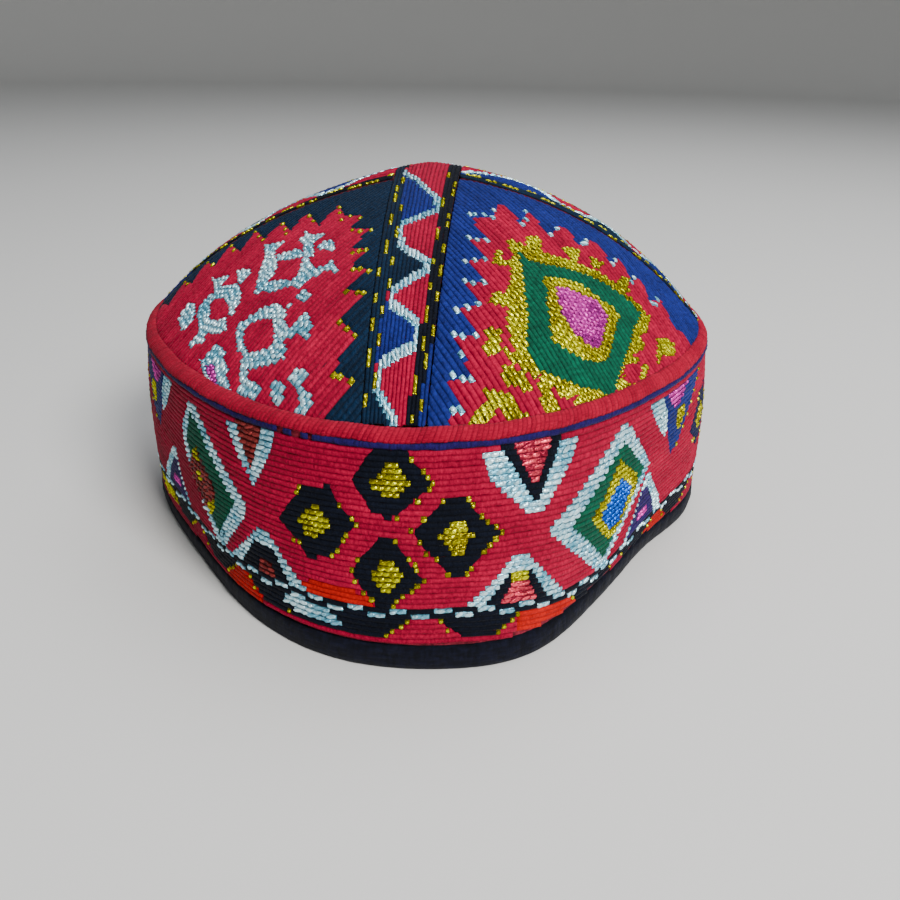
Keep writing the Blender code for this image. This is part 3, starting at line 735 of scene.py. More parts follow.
# How unevenly a hand lays floss. Wander is a share of the rib's half width, and slant is
# how far, in millimetres, one side of a cross section lies ahead of the middle
RIB_HAND = {"wander": 0.08, "height": 0.14, "slant": 0.10}
RUN_END_HEIGHT = 0.35
SHORT_RUN_HEIGHT = 0.9
LEAN_LIMIT = 0.4           # farthest that a run's end leans, as a share of the run
RIB_SECTION = (
    {"across": -1.04, "height": 0.00},
    {"across": -0.62, "height": 0.74},
    {"across": 0.00, "height": 1.00},
    {"across": 0.62, "height": 0.74},
    {"across": 1.04, "height": 0.00},
)


# Steps over which a surface's slope is read: millimetres, or a share of a strip's half width,
# whose charts never reach past SHARE_LIMIT
SLOPE_STEP = 0.2
SLOPE_SHARE = 0.02
SHARE_LIMIT = 1.5
CAP_CENTRE = np.array([0.0, 0.0, 0.02])


def patch_normals(at, u, w, points):
    """Outward normals of a patch at chart coordinates."""
    step = SLOPE_STEP if np.abs(w).max() > SHARE_LIMIT else SLOPE_SHARE
    along = at(u + SLOPE_STEP, w) - at(u - SLOPE_STEP, w)
    across = at(u, w + step) - at(u, w - step)
    normals = unit(np.cross(along, across))
    outward = points - CAP_CENTRE
    flip = np.sum(normals * outward, axis=-1) < 0.0
    normals[flip] = -normals[flip]
    return normals


def edge_lean(side, u, place, before, after):
    """How far a colour edge moves along the rib from its middle to one side."""
    changes = np.flatnonzero((side[:-1] == before) & (side[1:] == after))
    if not len(changes):
        return 0.0
    moves = u[changes] + 0.5 * CHART_STEP - place
    nearest = moves[np.argmin(np.abs(moves))]
    return nearest if abs(nearest) < EDGE_REACH else 0.0


def find_runs(chart, ribs, inside):
    """Runs of one thread along every rib, with the slant of both their ends."""
    runs = []
    for rib in ribs:
        u = np.arange(rib["start"], rib["end"], CHART_STEP)
        threads = []
        for side in (0.0, -EDGE_SIDE, EDGE_SIDE):
            w = np.full_like(u, rib["middle"] + side * rib["half"])
            threads.append(np.where(inside(u, w), paint(chart, u, w), -1))
        thread = threads[0]
        changes = np.flatnonzero(np.diff(thread)) + 1
        bounds = np.concatenate([[0], changes, [len(u)]])
        leans = [(0.0, 0.0)]
        for change in changes:
            place = u[change] - 0.5 * CHART_STEP
            pair = (thread[change - 1], thread[change])
            if max(pair) >= FIRST_METAL:
                leans.append((0.0, 0.0))
            else:
                leans.append(tuple(edge_lean(side, u, place, *pair) for side in threads[1:]))
        leans.append((0.0, 0.0))
        for index, (low, high) in enumerate(zip(bounds[:-1], bounds[1:])):
            if thread[low] < 0:
                continue
            runs.append({
                "thread": THREAD_NAMES[thread[low]],
                "start": u[low] - 0.5 * CHART_STEP,
                "end": u[high - 1] + 0.5 * CHART_STEP,
                "middle": rib["middle"],
                "half": rib["half"],
                "start_lean": leans[index],
                "end_lean": leans[index + 1],
            })
    return runs


class Weave:
    """Points and faces of one thread's stitches, gathered before they become a mesh."""

    def __init__(self):
        self.points = []
        self.faces = []
        self.lay = []
        self.count = 0

    def add(self, points, faces, lay):
        """Take in stitches whose faces count their own points from zero."""
        self.points.append(points)
        self.faces.append(faces + self.count)
        self.lay.append(lay)
        self.count += len(points)


def section_positions(start, end):
    """Places of a run's cross sections and how high the rib stands at each."""
    length = end - start
    if length < 4.0 * RUN_END:
        heights = np.array([RUN_END_HEIGHT, SHORT_RUN_HEIGHT, RUN_END_HEIGHT])
        return np.array([start, 0.5 * (start + end), end]), heights
    inner = max(1, math.ceil((length - 2.0 * RUN_END) / SECTION_STEP))
    middle = np.linspace(start + RUN_END, end - RUN_END, inner + 1)
    places = np.concatenate([[start], middle, [end]])
    heights = np.concatenate([[RUN_END_HEIGHT], np.ones(inner + 1), [RUN_END_HEIGHT]])
    return places, heights


def sew_ribs(weave, at, runs, height, rng, tone=None):
    """Raised ribs of floss for runs of one thread; tone is 0 to 1, or each run's own."""
    places, middles, halves, heights, tones, leans, sizes = [], [], [], [], [], [], []
    for run in runs:
        u, rise = section_positions(run["start"], run["end"])
        count = len(u)
        sizes.append(count)
        places.append(u)
        middles.append(np.full(count, run["middle"]))
        halves.append(np.full(count, run["half"]))
        heights.append(rise)
        lean = np.zeros((count, 2))
        limit = LEAN_LIMIT * (run["end"] - run["start"])
        ends = 2 if count > 3 else 1
        lean[:ends] = np.clip(run["start_lean"], -limit, limit)
        lean[-ends:] = np.clip(run["end_lean"], -limit, limit)
        leans.append(lean)
        shade = rng.uniform(0.0, 1.0) if tone is None else tone
        tones.append(np.full(count, shade))
    if not sizes:
        return
    u = np.concatenate(places)
    middle = np.concatenate(middles)
    half = np.concatenate(halves)
    rise = np.concatenate(heights)
    shade = np.concatenate(tones)
    lean = np.concatenate(leans)
    free = np.abs(lean).sum(1) == 0.0
    middle = middle + half * rng.normal(0.0, RIB_HAND["wander"], len(u))
    rise = rise * (1.0 + rng.normal(0.0, RIB_HAND["height"], len(u)))
    slant = np.where(free, rng.normal(0.0, RIB_HAND["slant"], len(u)), 0.0)
    columns, lays = [], []
    for row in RIB_SECTION:
        across = middle + half * row["across"]
        share = np.clip(row["across"] / EDGE_SIDE, -1.2, 1.2)
        leaning = np.where(share < 0.0, -lean[:, 0] * share, lean[:, 1] * share)
        along = u + slant * row["across"] + leaning
        base = at(along, across)
        normals = patch_normals(at, along, across, base)
        lift = (CLOTH_CLEARANCE + height * row["height"] * rise) * MM
        columns.append(base + normals * lift[:, None])
        lays.append(np.stack([along, np.full(len(u), row["across"]), shade], -1))
    width = len(RIB_SECTION)
    points = np.stack(columns, 1).reshape(-1, 3)
    lay = np.stack(lays, 1).reshape(-1, 3)
    ends = np.cumsum(sizes) - 1
    first = np.setdiff1d(np.arange(len(u) - 1), ends)
    faces = []
    for column in range(width - 1):
        low = first * width + column
        high = (first + 1) * width + column
        faces.append(np.stack([low, high, high + 1, low + 1], -1))
    weave.add(points, np.concatenate(faces), lay)


GRAIN_SECTIONS = (
    {"along": -1.00, "size": 0.24},
    {"along": -0.66, "size": 0.76},
    {"along": -0.15, "size": 1.00},
    {"along": 0.35, "size": 0.96},
    {"along": 0.76, "size": 0.64},
    {"along": 1.00, "size": 0.22},
)
GRAIN_ARC = (-1.0, -0.5, 0.0, 0.5, 1.0)
# How unevenly a hand lays metal thread: shares of a grain's size, turns in radians
GRAIN_HAND = {
    "cut": 0.25, "wander": 0.10, "turn": 0.16, "tilt": 0.12,
    "length": (0.95, 1.15), "height": (0.8, 1.2), "width": (0.85, 1.12),
}
GRAIN_LIFT = 0.35          # height of a grain's foot above the ribs' feet, as a share of its own
MISSING_RUN = 3.0          # longest run, in millimetres, that may have lost its metal thread


def sew_grains(weave, at, runs, style, rng):
    """Metal-thread stitches: each one a small rounded grain along its rib."""
    centres, middles, lengths, halves = [], [], [], []
    for run in runs:
        length = run["end"] - run["start"]
        if rng.random() < style["missing"] and length < MISSING_RUN:
            continue
        count = max(1, round(length / style["length"]))
        cuts = np.linspace(run["start"], run["end"], count + 1)
        if count > 1:
            cut = GRAIN_HAND["cut"]
            cuts[1:-1] += rng.uniform(-cut, cut, count - 1) * style["length"]
        centres.append(0.5 * (cuts[1:] + cuts[:-1]))
        lengths.append(0.5 * np.diff(cuts))
        middles.append(np.full(count, run["middle"]))
        halves.append(np.full(count, run["half"]))
    if not centres:
        return
    u = np.concatenate(centres)
    half_length = np.concatenate(lengths) * rng.uniform(*GRAIN_HAND["length"], len(u))
    half = np.concatenate(halves)
    w = np.concatenate(middles) + half * rng.normal(0.0, GRAIN_HAND["wander"], len(u))
    spot = at(u, w)
    up = patch_normals(at, u, w, spot)
    forward = at(u + SLOPE_STEP, w) - spot
    forward -= np.sum(forward * up, -1, keepdims=True) * up
    forward = unit(forward)
    side = np.cross(up, forward)
    width = np.linalg.norm(at(u, w + half) - at(u, w - half), axis=-1) * 0.5
    turn = rng.normal(style["slant"], GRAIN_HAND["turn"], len(u))
    tilt = rng.normal(0.0, GRAIN_HAND["tilt"], len(u))
    cos = np.cos(turn)[:, None]
    sin = np.sin(turn)[:, None]
    forward, side = forward * cos + side * sin, side * cos - forward * sin
    tall = style["height"] * rng.uniform(*GRAIN_HAND["height"], len(u)) * MM
    lift = (CLOTH_CLEARANCE + GRAIN_LIFT * style["height"]) * MM
    wide = width * style["width"] * rng.uniform(*GRAIN_HAND["width"], len(u))
    # Each grain's tone is its painted highlight: foil either catches the light or doesn't, so most tones
    # are near 0 or 1
    tones = rng.beta(0.85, 0.8, len(u))
    columns, lays = [], []
    for section in GRAIN_SECTIONS:
        for arc in GRAIN_ARC:
            bend = arc * 0.5 * np.pi
            reach = section["along"] * half_length * MM
            sideways = np.sin(bend) * section["size"] * wide
            rise = np.cos(bend) * section["size"] * tall + tilt * reach
            ahead = spot + forward * reach[:, None] + side * sideways[:, None]
            columns.append(ahead + up * (lift + rise)[:, None])
            lays.append(np.stack([u + reach / MM, np.full(len(u), arc), tones], -1))
    points = np.stack(columns, 1).reshape(-1, 3)
    lay = np.stack(lays, 1).reshape(-1, 3)
    arc_count = len(GRAIN_ARC)
    size = len(GRAIN_SECTIONS) * arc_count
    pattern = []
    for section in range(len(GRAIN_SECTIONS) - 1):
        for arc in range(arc_count - 1):
            low = section * arc_count + arc
            pattern.append((low, low + arc_count, low + arc_count + 1, low + 1))
    last = size - arc_count
    pattern += [(0, 1, 2, 3), (0, 3, 4, 4)]
    pattern += [(last + 3, last + 2, last + 1, last), (last + 4, last + 3, last, last)]
    faces = (np.arange(len(u))[:, None, None] * size + np.array(pattern)[None]).reshape(-1, 4)
    weave.add(points, faces, lay)


def make_mesh(name, points, faces, material, lay=None, smooth=True):
    """Add a mesh object from arrays, with the lay of its threads as an attribute."""
    mesh = bpy.data.meshes.new(name)
    # A triangle's row names its last corner twice
    mesh.from_pydata(points.tolist(), [], [tuple(dict.fromkeys(face)) for face in faces.tolist()])
    mesh.validate()
    if smooth:
        mesh.shade_smooth()
    if lay is not None:
        attribute = mesh.attributes.new("lay", "FLOAT_VECTOR", "POINT")
        attribute.data.foreach_set("vector", lay.astype(np.float32).ravel())
    mesh.materials.append(material)
    piece = bpy.data.objects.new(name, mesh)
    bpy.context.scene.collection.objects.link(piece)
    return piece


def weave_piece(name, weave, material, smooth=True):
    """Turn gathered stitches into a piece that rides on the cap."""
    points = np.concatenate(weave.points)
    faces = np.concatenate(weave.faces)
    lay = np.concatenate(weave.lay)
    piece = make_mesh(name, points, faces, material, lay, smooth)
    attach(piece, "root")
    return piece


def linear(hex_colour):
    """sRGB hex as a linear colour."""
    found = []
    for start in (1, 3, 5):
        value = int(hex_colour[start:start + 2], 16) / 255.0
        found.append(value / 12.92 if value <= 0.04045 else ((value + 0.055) / 1.055) ** 2.4)
    return (*found, 1.0)


def add_node(tree, kind, settings=None, inputs=None):
    """Add a node, with its settings, and set or link its inputs."""
    node = tree.nodes.new(kind)
    for key, value in (settings or {}).items():
        setattr(node, key, value)
    for key, value in (inputs or {}).items():
        if isinstance(value, bpy.types.NodeSocket):
            tree.links.new(value, node.inputs[key])
        else:
            node.inputs[key].default_value = value
    return node


def start_material(name):
    """New material with an empty tree."""
    material = bpy.data.materials.new(name)
    material.use_nodes = True
    material.node_tree.nodes.clear()
    return material, material.node_tree


def thread_noise(tree, place, stretch, detail, roughness):
    """Noise drawn out along threads: stretch is how many times it varies in a unit each way."""
    squeeze = add_node(
        tree, "ShaderNodeVectorMath", {"operation": "MULTIPLY"}, {0: place, 1: stretch}
    )
    noise = add_node(
        tree, "ShaderNodeTexNoise", None,
        {"Vector": squeeze.outputs[0], "Scale": 1.0, "Detail": detail, "Roughness": roughness},
    )
    return noise.outputs["Fac"]


def finish_material(tree, colour, height, bump, surface):
    """Relief, shader and output of a thread or cloth."""
    relief = add_node(tree, "ShaderNodeBump", None, {"Height": height, **bump})
    shader = add_node(
        tree, "ShaderNodeBsdfPrincipled", None,
        {"Base Color": colour, "Normal": relief.outputs[0], **surface},
    )
    add_node(tree, "ShaderNodeOutputMaterial", None, {"Surface": shader.outputs[0]})


COLOUR_MIX = {"data_type": "RGBA"}
SMOOTH_STEP = {"interpolation_type": "SMOOTHSTEP"}

# Stranded cotton or silk floss: matt with a soft sheen, with painted shade (deep) where ribs meet
FLOSS = {
    "crimson": {"top": "#AC0536", "deep": "#620218", "roughness": 0.66},
    "orange": {"top": "#C2140C", "deep": "#7A0808", "roughness": 0.66},
    "black": {"top": "#0B101E", "deep": "#030409", "roughness": 0.60},
    "ink_teal": {"top": "#06213A", "deep": "#030B16", "roughness": 0.55},
    "royal": {"top": "#192878", "deep": "#090C32", "roughness": 0.50},
    "navy": {"top": "#141944", "deep": "#07071A", "roughness": 0.55},
    "violet": {"top": "#2E1C60", "deep": "#100926", "roughness": 0.55},
    "green": {"top": "#005A40", "deep": "#01241A", "roughness": 0.58},
    "roll_red": {"top": "#AA0A30", "deep": "#6C051A", "roughness": 0.70},
    "cord_violet": {"top": "#231358", "deep": "#0A0626", "roughness": 0.55},
}

# Metal-wrapped thread: a foil ribbon round a cotton core, so it flashes at each stitch
# Bright and dull are the painted lit and shaded colours of each grain; deep is the painted shade at the
# grains' sides
FOIL = {
    "silver": {"bright": "#D8F8FF", "dull": "#66AEC6", "deep": "#123A48", "metallic": 0.60},
    "gold": {"bright": "#D6D400", "dull": "#827600", "deep": "#221C00", "metallic": 0.80},
    "coral": {"bright": "#FF5668", "dull": "#821830", "deep": "#320814", "metallic": 0.60},
    "bronze": {"bright": "#963A38", "dull": "#4E1618", "deep": "#240A0C", "metallic": 0.60},
    "pink_foil": {"bright": "#EC4CC0", "dull": "#801A6A", "deep": "#340A30", "metallic": 0.60},
    "blue_foil": {"bright": "#2678F0", "dull": "#0C48A0", "deep": "#061C44", "metallic": 0.80},
}


# A thread's lay holds millimetres along the rib, shares of its half width, which set the painted shade
# at the sides, and the run's tone, which on metal thread is its painted highlight.
# Real floss fibres are 0.1 mm apart and too fine to show; here bundles lie 2/3 mm apart
FIBRE_STRETCH = (1.5, 0.55, 37.0)
# Turns of the foil ribbon, drawn 0.5 mm apart
WRAP_STRETCH = (2.0, 1.2, 61.0)
# Cotton: threads about 1 mm apart and 4 mm long, one layer each way, as turns in a metre
COTTON_STRETCHES = ((900.0, 900.0, 260.0), (260.0, 260.0, 1100.0))
# Uneven dye in patches of about 11 mm, and painted highlights that make the foil brighter or duller in
# patches of about 9 mm
DYE_PATCHES = 90.0
PAINTED_SHINE_PATCHES = 110.0


def floss_material(name, style):
    """Stranded floss: fibres run across each rib, and each run has its own tone."""
    material, tree = start_material(name)
    lay = add_node(tree, "ShaderNodeAttribute", {"attribute_name": "lay"}).outputs["Vector"]
    parts = add_node(tree, "ShaderNodeSeparateXYZ", None, {0: lay}).outputs
    fibres = thread_noise(tree, lay, FIBRE_STRETCH, 4.0, 0.7)
    place = add_node(tree, "ShaderNodeTexCoord").outputs["Object"]
    patches = add_node(
        tree, "ShaderNodeTexNoise", None, {"Vector": place, "Scale": DYE_PATCHES, "Detail": 2.0}
    )
    side = add_node(tree, "ShaderNodeMath", {"operation": "ABSOLUTE"}, {0: parts["Y"]})
    # Painted shade: the colour darkens towards deep at each rib's sides, where ribs meet
    painted_valley_shade = add_node(
        tree, "ShaderNodeMapRange", SMOOTH_STEP,
        {"Value": side.outputs[0], "From Min": 0.50, "From Max": 1.0, "To Max": 0.60},
    )
    streak = add_node(
        tree, "ShaderNodeMapRange", None,
        {"Value": fibres, "From Min": 0.34, "From Max": 0.66, "To Max": 0.75},
    )
    top = linear(style["top"])
    deep = linear(style["deep"])
    streaked = add_node(tree, "ShaderNodeMix", COLOUR_MIX, {0: streak.outputs[0], 6: top, 7: deep})
    shaded = add_node(
        tree, "ShaderNodeMix", COLOUR_MIX, {0: painted_valley_shade.outputs[0], 6: streaked.outputs[2], 7: deep}
    )
    tone = add_node(
        tree, "ShaderNodeMapRange", None, {"Value": parts["Z"], "To Min": 0.84, "To Max": 1.14}
    )
    dye = add_node(
        tree, "ShaderNodeMapRange", None,
        {
            "Value": patches.outputs["Fac"], "From Min": 0.3, "From Max": 0.7,
            "To Min": 0.84, "To Max": 1.14,
        },
    )
    level = add_node(
        tree, "ShaderNodeMath", {"operation": "MULTIPLY"}, {0: tone.outputs[0], 1: dye.outputs[0]}
    )
    colour = add_node(
        tree, "ShaderNodeVectorMath", {"operation": "SCALE"},
        {0: shaded.outputs[2], "Scale": level.outputs[0]},
    )
    finish_material(
        tree, colour.outputs[0], fibres, {"Strength": 0.8, "Distance": 0.0006},
        {
            "Roughness": style["roughness"], "Sheen Weight": 0.03, "Sheen Roughness": 0.4,
            "Specular IOR Level": 0.06,
        },
    )
    return material


def foil_material(name, style):
    """Metal thread: grains with painted highlights, bright and dull side by side, fine wrap lines with
    painted glints, and painted shade at the grains' sides.
    """
    material, tree = start_material(name)
    lay = add_node(tree, "ShaderNodeAttribute", {"attribute_name": "lay"}).outputs["Vector"]
    parts = add_node(tree, "ShaderNodeSeparateXYZ", None, {0: lay}).outputs
    wraps = thread_noise(tree, lay, WRAP_STRETCH, 2.0, 0.5)
    # Painted glints along the turns of the foil ribbon
    glint = add_node(
        tree, "ShaderNodeMapRange", None,
        {"Value": wraps, "From Min": 0.35, "From Max": 0.65, "To Min": -0.35, "To Max": 0.35},
    )
    place = add_node(tree, "ShaderNodeTexCoord").outputs["Object"]
    # Painted highlights brighten or dull the foil in patches
    painted_shine_noise = add_node(
        tree, "ShaderNodeTexNoise", None, {"Vector": place, "Scale": PAINTED_SHINE_PATCHES, "Detail": 1.0}
    )
    shine = add_node(
        tree, "ShaderNodeMapRange", None,
        {
            "Value": painted_shine_noise.outputs["Fac"], "From Min": 0.35, "From Max": 0.65,
            "To Min": -0.30, "To Max": 0.40,
        },
    )
    tone = add_node(tree, "ShaderNodeMath", None, {0: parts["Z"], 1: shine.outputs[0]})
    share = add_node(
        tree, "ShaderNodeMath", {"use_clamp": True}, {0: tone.outputs[0], 1: glint.outputs[0]}
    )
    # Painted highlight: each grain's colour runs from dull to bright by its tone
    lit = add_node(
        tree, "ShaderNodeMix", COLOUR_MIX,
        {0: share.outputs[0], 6: linear(style["dull"]), 7: linear(style["bright"])},
    )
    # Painted shade: the colour darkens towards deep at each grain's sides
    side = add_node(tree, "ShaderNodeMath", {"operation": "ABSOLUTE"}, {0: parts["Y"]})
    painted_gap_shade = add_node(
        tree, "ShaderNodeMapRange", SMOOTH_STEP,
        {"Value": side.outputs[0], "From Min": 0.60, "From Max": 1.0, "To Max": 0.8},
    )
    colour = add_node(
        tree, "ShaderNodeMix", COLOUR_MIX,
        {0: painted_gap_shade.outputs[0], 6: lit.outputs[2], 7: linear(style["deep"])},
    )
    finish_material(
        tree, colour.outputs[2], wraps, {"Strength": 0.6, "Distance": 0.0003},
        {
            "Metallic": style["metallic"], "Specular Tint": linear(style["bright"]), "Roughness": 0.28,
            "Specular IOR Level": 0.5,
        },
    )
    return material


def cloth_material(name, style):
    """Soft woven cotton: slubby threads both ways and a little fuzz."""
    material, tree = start_material(name)
    place = add_node(tree, "ShaderNodeTexCoord").outputs["Object"]
    warp, weft = [thread_noise(tree, place, stretch, 3.0, 0.6) for stretch in COTTON_STRETCHES]
    weave = add_node(tree, "ShaderNodeMath", {"operation": "MULTIPLY"}, {0: warp, 1: weft}).outputs[0]
    share = add_node(
        tree, "ShaderNodeMapRange", None, {"Value": weave, "From Min": 0.14, "From Max": 0.38}
    )
    colour = add_node(
        tree, "ShaderNodeMix", COLOUR_MIX,
        {0: share.outputs[0], 6: linear(style["deep"]), 7: linear(style["top"])},
    )
    finish_material(
        tree, colour.outputs[2], weave, {"Strength": 0.8, "Distance": 0.0005},
        {
            "Roughness": style["roughness"], "Sheen Weight": 0.05, "Sheen Roughness": 0.5,
            "Specular IOR Level": 0.1,
        },
    )
    return material


materials = {name: floss_material("floss_" + name, style) for name, style in FLOSS.items()}
materials.update({name: foil_material("foil_" + name, style) for name, style in FOIL.items()})
# Plain cotton: the ground under the stitches, and the matt black binding
GROUNDS = {
    "band_embroidery": {"top": "#8C2234", "deep": "#3A0A14", "roughness": 0.85},
    "gore_teal": {"top": "#24384A", "deep": "#0C1620", "roughness": 0.85},
    "gore_blue": {"top": "#2A3A70", "deep": "#101838", "roughness": 0.85},
    "strip_embroidery": {"top": "#7A2234", "deep": "#300A14", "roughness": 0.85},
}
grounds = {name: cloth_material("cotton_" + name, style) for name, style in GROUNDS.items()}
BINDING = {"top": "#0F1120", "deep": "#05060C", "roughness": 0.90}
binding_cotton = cloth_material("binding_black_cotton", BINDING)

NODE_SLOTS = {
    "side_band": "band_embroidery",
    "gore_front_left": "gore_teal",
    "gore_front_right": "gore_blue",
    "gore_back_left": "gore_blue",
    "gore_back_right": "gore_teal",
    "strip_front_back": "strip_embroidery",
    "strip_left": "strip_embroidery",
    "strip_right": "strip_embroidery",
}
for node_name, slot_name in NODE_SLOTS.items():
    node = bpy.data.objects[node_name]
    for slot in node.material_slots:
        slot.material = grounds[slot_name]


# Size of one metal stitch in millimetres, its width as a share of the rib, its slant in radians
# and the share of short runs that are missing
FOIL_STITCH = {
    "silver": {"length": 2.1, "width": 0.84, "height": 0.42, "slant": 0.24, "missing": 0.02},
    "crown_silver": {"length": 1.4, "width": 0.84, "height": 0.42, "slant": 0.34, "missing": 0.02},
    "gold": {"length": 1.5, "width": 0.80, "height": 0.44, "slant": 0.18, "missing": 0.05},
    "coral": {"length": 2.6, "width": 0.78, "height": 0.36, "slant": 0.10, "missing": 0.05},
    "bronze": {"length": 2.2, "width": 0.78, "height": 0.36, "slant": 0.12, "missing": 0.05},
    "pink_foil": {"length": 1.1, "width": 0.80, "height": 0.36, "slant": 0.25, "missing": 0.0},
    "blue_foil": {"length": 1.6, "width": 0.80, "height": 0.38, "slant": 0.20, "missing": 0.0},
}


def sew_panel(name, at, chart, ribs, inside, rng):
    """Sew one panel: one piece for each thread in its chart."""
    runs = find_runs(chart, ribs, inside)
    for thread in THREAD_NAMES:
        own = [run for run in runs if run["thread"] == thread]
        if not own:
            continue
        weave = Weave()
        if thread in METAL_THREADS:
            # Low ribs of the metal thread under its grains at tone 0, so the gaps between grains show
            # its dull painted shade
            sew_ribs(weave, at, own, 0.5 * RIB_HEIGHT, rng, tone=0.0)
            stitch = "crown_silver" if thread == "silver" and name.startswith("gore") else thread
            sew_grains(weave, at, own, FOIL_STITCH[stitch], rng)
        else:
            sew_ribs(weave, at, own, RIB_HEIGHT, rng)
        weave_piece(name + "_" + thread, weave, materials[thread], thread not in METAL_THREADS)


# First and last rib, counted up from the border: the band's run from just above the binding
# to under the cord, and a gore's from one side to the other
BAND_RIBS = (-7, 29)
GORE_RIBS = (-60, 40)
GORE_SPAN = (10.0, 100.0)
STRIP_REACH = 95.0
BAND_FOOT = 7.5            # where the binding ends, in millimetres above the table
GORE_CLEARANCE = 0.25      # between a gore's stitches and a strip
UNDER_ROLL = ROLL_SHARE + 0.002


def rib_rows(first, last, start, end):
    """Ribs of the band or of a gore, one pitch apart."""
    half = 0.5 * RIB_PITCH
    found = []
    for index in range(first, last):
        middle = BORDER_ROW + (index + 0.5) * RIB_PITCH
        found.append({"start": start, "end": end, "middle": middle, "half": half})
    return found


def band_inside(u, w):
    """Whether a rib point lies on the band, clear of the binding."""
    return band_rise(u, w) > BAND_FOOT


def gore_inside(u, w):
    """Whether a point lies on the gore, between its strips and the roll."""
    x, y = gore_plan(u, w)
    beside_long = x > strip_half(y, LONG_REACH) + GORE_CLEARANCE
    beside_short = y > strip_half(x, SIDE_REACH) + GORE_CLEARANCE
    return beside_long & beside_short & (crown_share(x * MM, y * MM) < UNDER_ROLL)


def strip_ribs(start, end):
    """Ribs of a ridge strip, as shares of its half width."""
    pitch = 2.0 / STRIP_RIBS
    found = []
    for index in range(STRIP_RIBS):
        middle = -1.0 + (index + 0.5) * pitch
        found.append({"start": start, "end": end, "middle": middle, "half": 0.5 * pitch})
    return found


def long_inside(u, w):
    """Whether a point lies on the long strip."""
    return crown_share(w * strip_half(u, LONG_REACH) * MM, -u * MM) < UNDER_ROLL


def side_inside(u, w):
    """Whether a point lies on a side strip."""
    return crown_share(u * MM, w * strip_half(u, SIDE_REACH) * MM) < UNDER_ROLL


rng = np.random.default_rng(SEED)
sew_panel(
    "band", band_at, chart_band(), rib_rows(*BAND_RIBS, *BACK_ARC), band_inside, rng
)
GORES = (
    {"name": "gore_front_left", "x": -1.0, "y": -1.0, "chart": LEFT_GORE},
    {"name": "gore_front_right", "x": 1.0, "y": -1.0, "chart": RIGHT_GORE},
    {"name": "gore_back_left", "x": -1.0, "y": 1.0, "chart": RIGHT_GORE},
    {"name": "gore_back_right", "x": 1.0, "y": 1.0, "chart": LEFT_GORE},
)
for row in GORES:
    sew_panel(
        row["name"] + "_sewn", gore_at(row["x"], row["y"]), row["chart"],
        rib_rows(*GORE_RIBS, *GORE_SPAN), gore_inside, rng,
    )


def mirrored_strip():
    """Strip chart for the front half with its copy for the back half."""
    back = []
    for entry in STRIP[1:]:
        copy = dict(entry)
        key = "corners" if "corners" in entry else "points"
        copy[key] = -entry[key]
        back.append(copy)
    return STRIP[:1] + back + STRIP[1:]


sew_panel(
    "strip_long_sewn", long_strip_at, mirrored_strip(), strip_ribs(-STRIP_REACH, STRIP_REACH),
    long_inside, rng,
)
SIDE_SPAN = (0.5 * STRIP_WIDTH_AT_APEX + 0.35, 92.0)
for name, sign in (("strip_left_sewn", -1.0), ("strip_right_sewn", 1.0)):
    sew_panel(
        name, side_strip_at(sign), STRIP, strip_ribs(*SIDE_SPAN), side_inside, rng
    )


# The couched cord lies on the band just under the roll; at the left front it has come away
CORD_BREAKS = ((-29.4, -27.6), (-25.2, -22.6), (-20.4, -19.6))
CORD_ROW = 56.6
CORD_HALF_WIDTH = 0.95
CORD_HEIGHT = 0.8


def cord_inside(u, w):
    """Whether the couched cord is still in place."""
    found = np.ones(u.shape, bool)
    for low, high in CORD_BREAKS:
        found &= ~((u > low) & (u < high))
    return found


cord_rib = {"start": BACK_ARC[0], "end": BACK_ARC[1], "middle": CORD_ROW, "half": CORD_HALF_WIDTH}
cord_runs = find_runs([box("violet", *BAND_GROUND)], [cord_rib], cord_inside)
cord_weave = Weave()
sew_ribs(cord_weave, band_at, cord_runs, CORD_HEIGHT, rng)
weave_piece("couched_cord", cord_weave, materials["cord_violet"])


# Padded roll, overcast with red floss (metres, or shares of the roll's own width)
ROLL_STITCHES = 480
ROLL_STITCH_COLUMNS = 4
ROLL_ARC_STEPS = 10
ROLL_SWELL = 0.00085
ROLL_LIFT = 0.00042
ROLL_OVERHANG = 0.12
ROLL_ARCH_POWER = 0.6
ROLL_STITCH_DEPTH = 0.00016
ROLL_LEAN = 0.0026
# Lumps in the padding and a wavering course: how many round the cap, and their size
ROLL_LUMPS = (60, 0.22)
ROLL_DRIFT = (90, 0.06)
# How much one overcast stitch differs from the next
ROLL_STITCH_RANGE = {"depth": (0.4, 1.4), "tone": (0.0, 1.0), "slip": (-0.025, 0.025)}
# The lay of the roll's floss: length over its arch, edges of a stitch, where the floss has its painted
# shade, and its hidden inside
ROLL_LAY = {"length": 6.0, "edge": 0.95, "crest": 0.05, "inside": 7.0}


def ring_faces(count, width):
    """Faces of a closed ring of closed sections."""
    first = np.arange(count)[:, None] * width
    following = ((np.arange(count) + 1) % count)[:, None] * width
    column = np.arange(width)[None]
    after = ((np.arange(width) + 1) % width)[None]
    corners = (first + column, following + column, following + after, first + after)
    return np.stack(corners, -1).reshape(-1, 4)


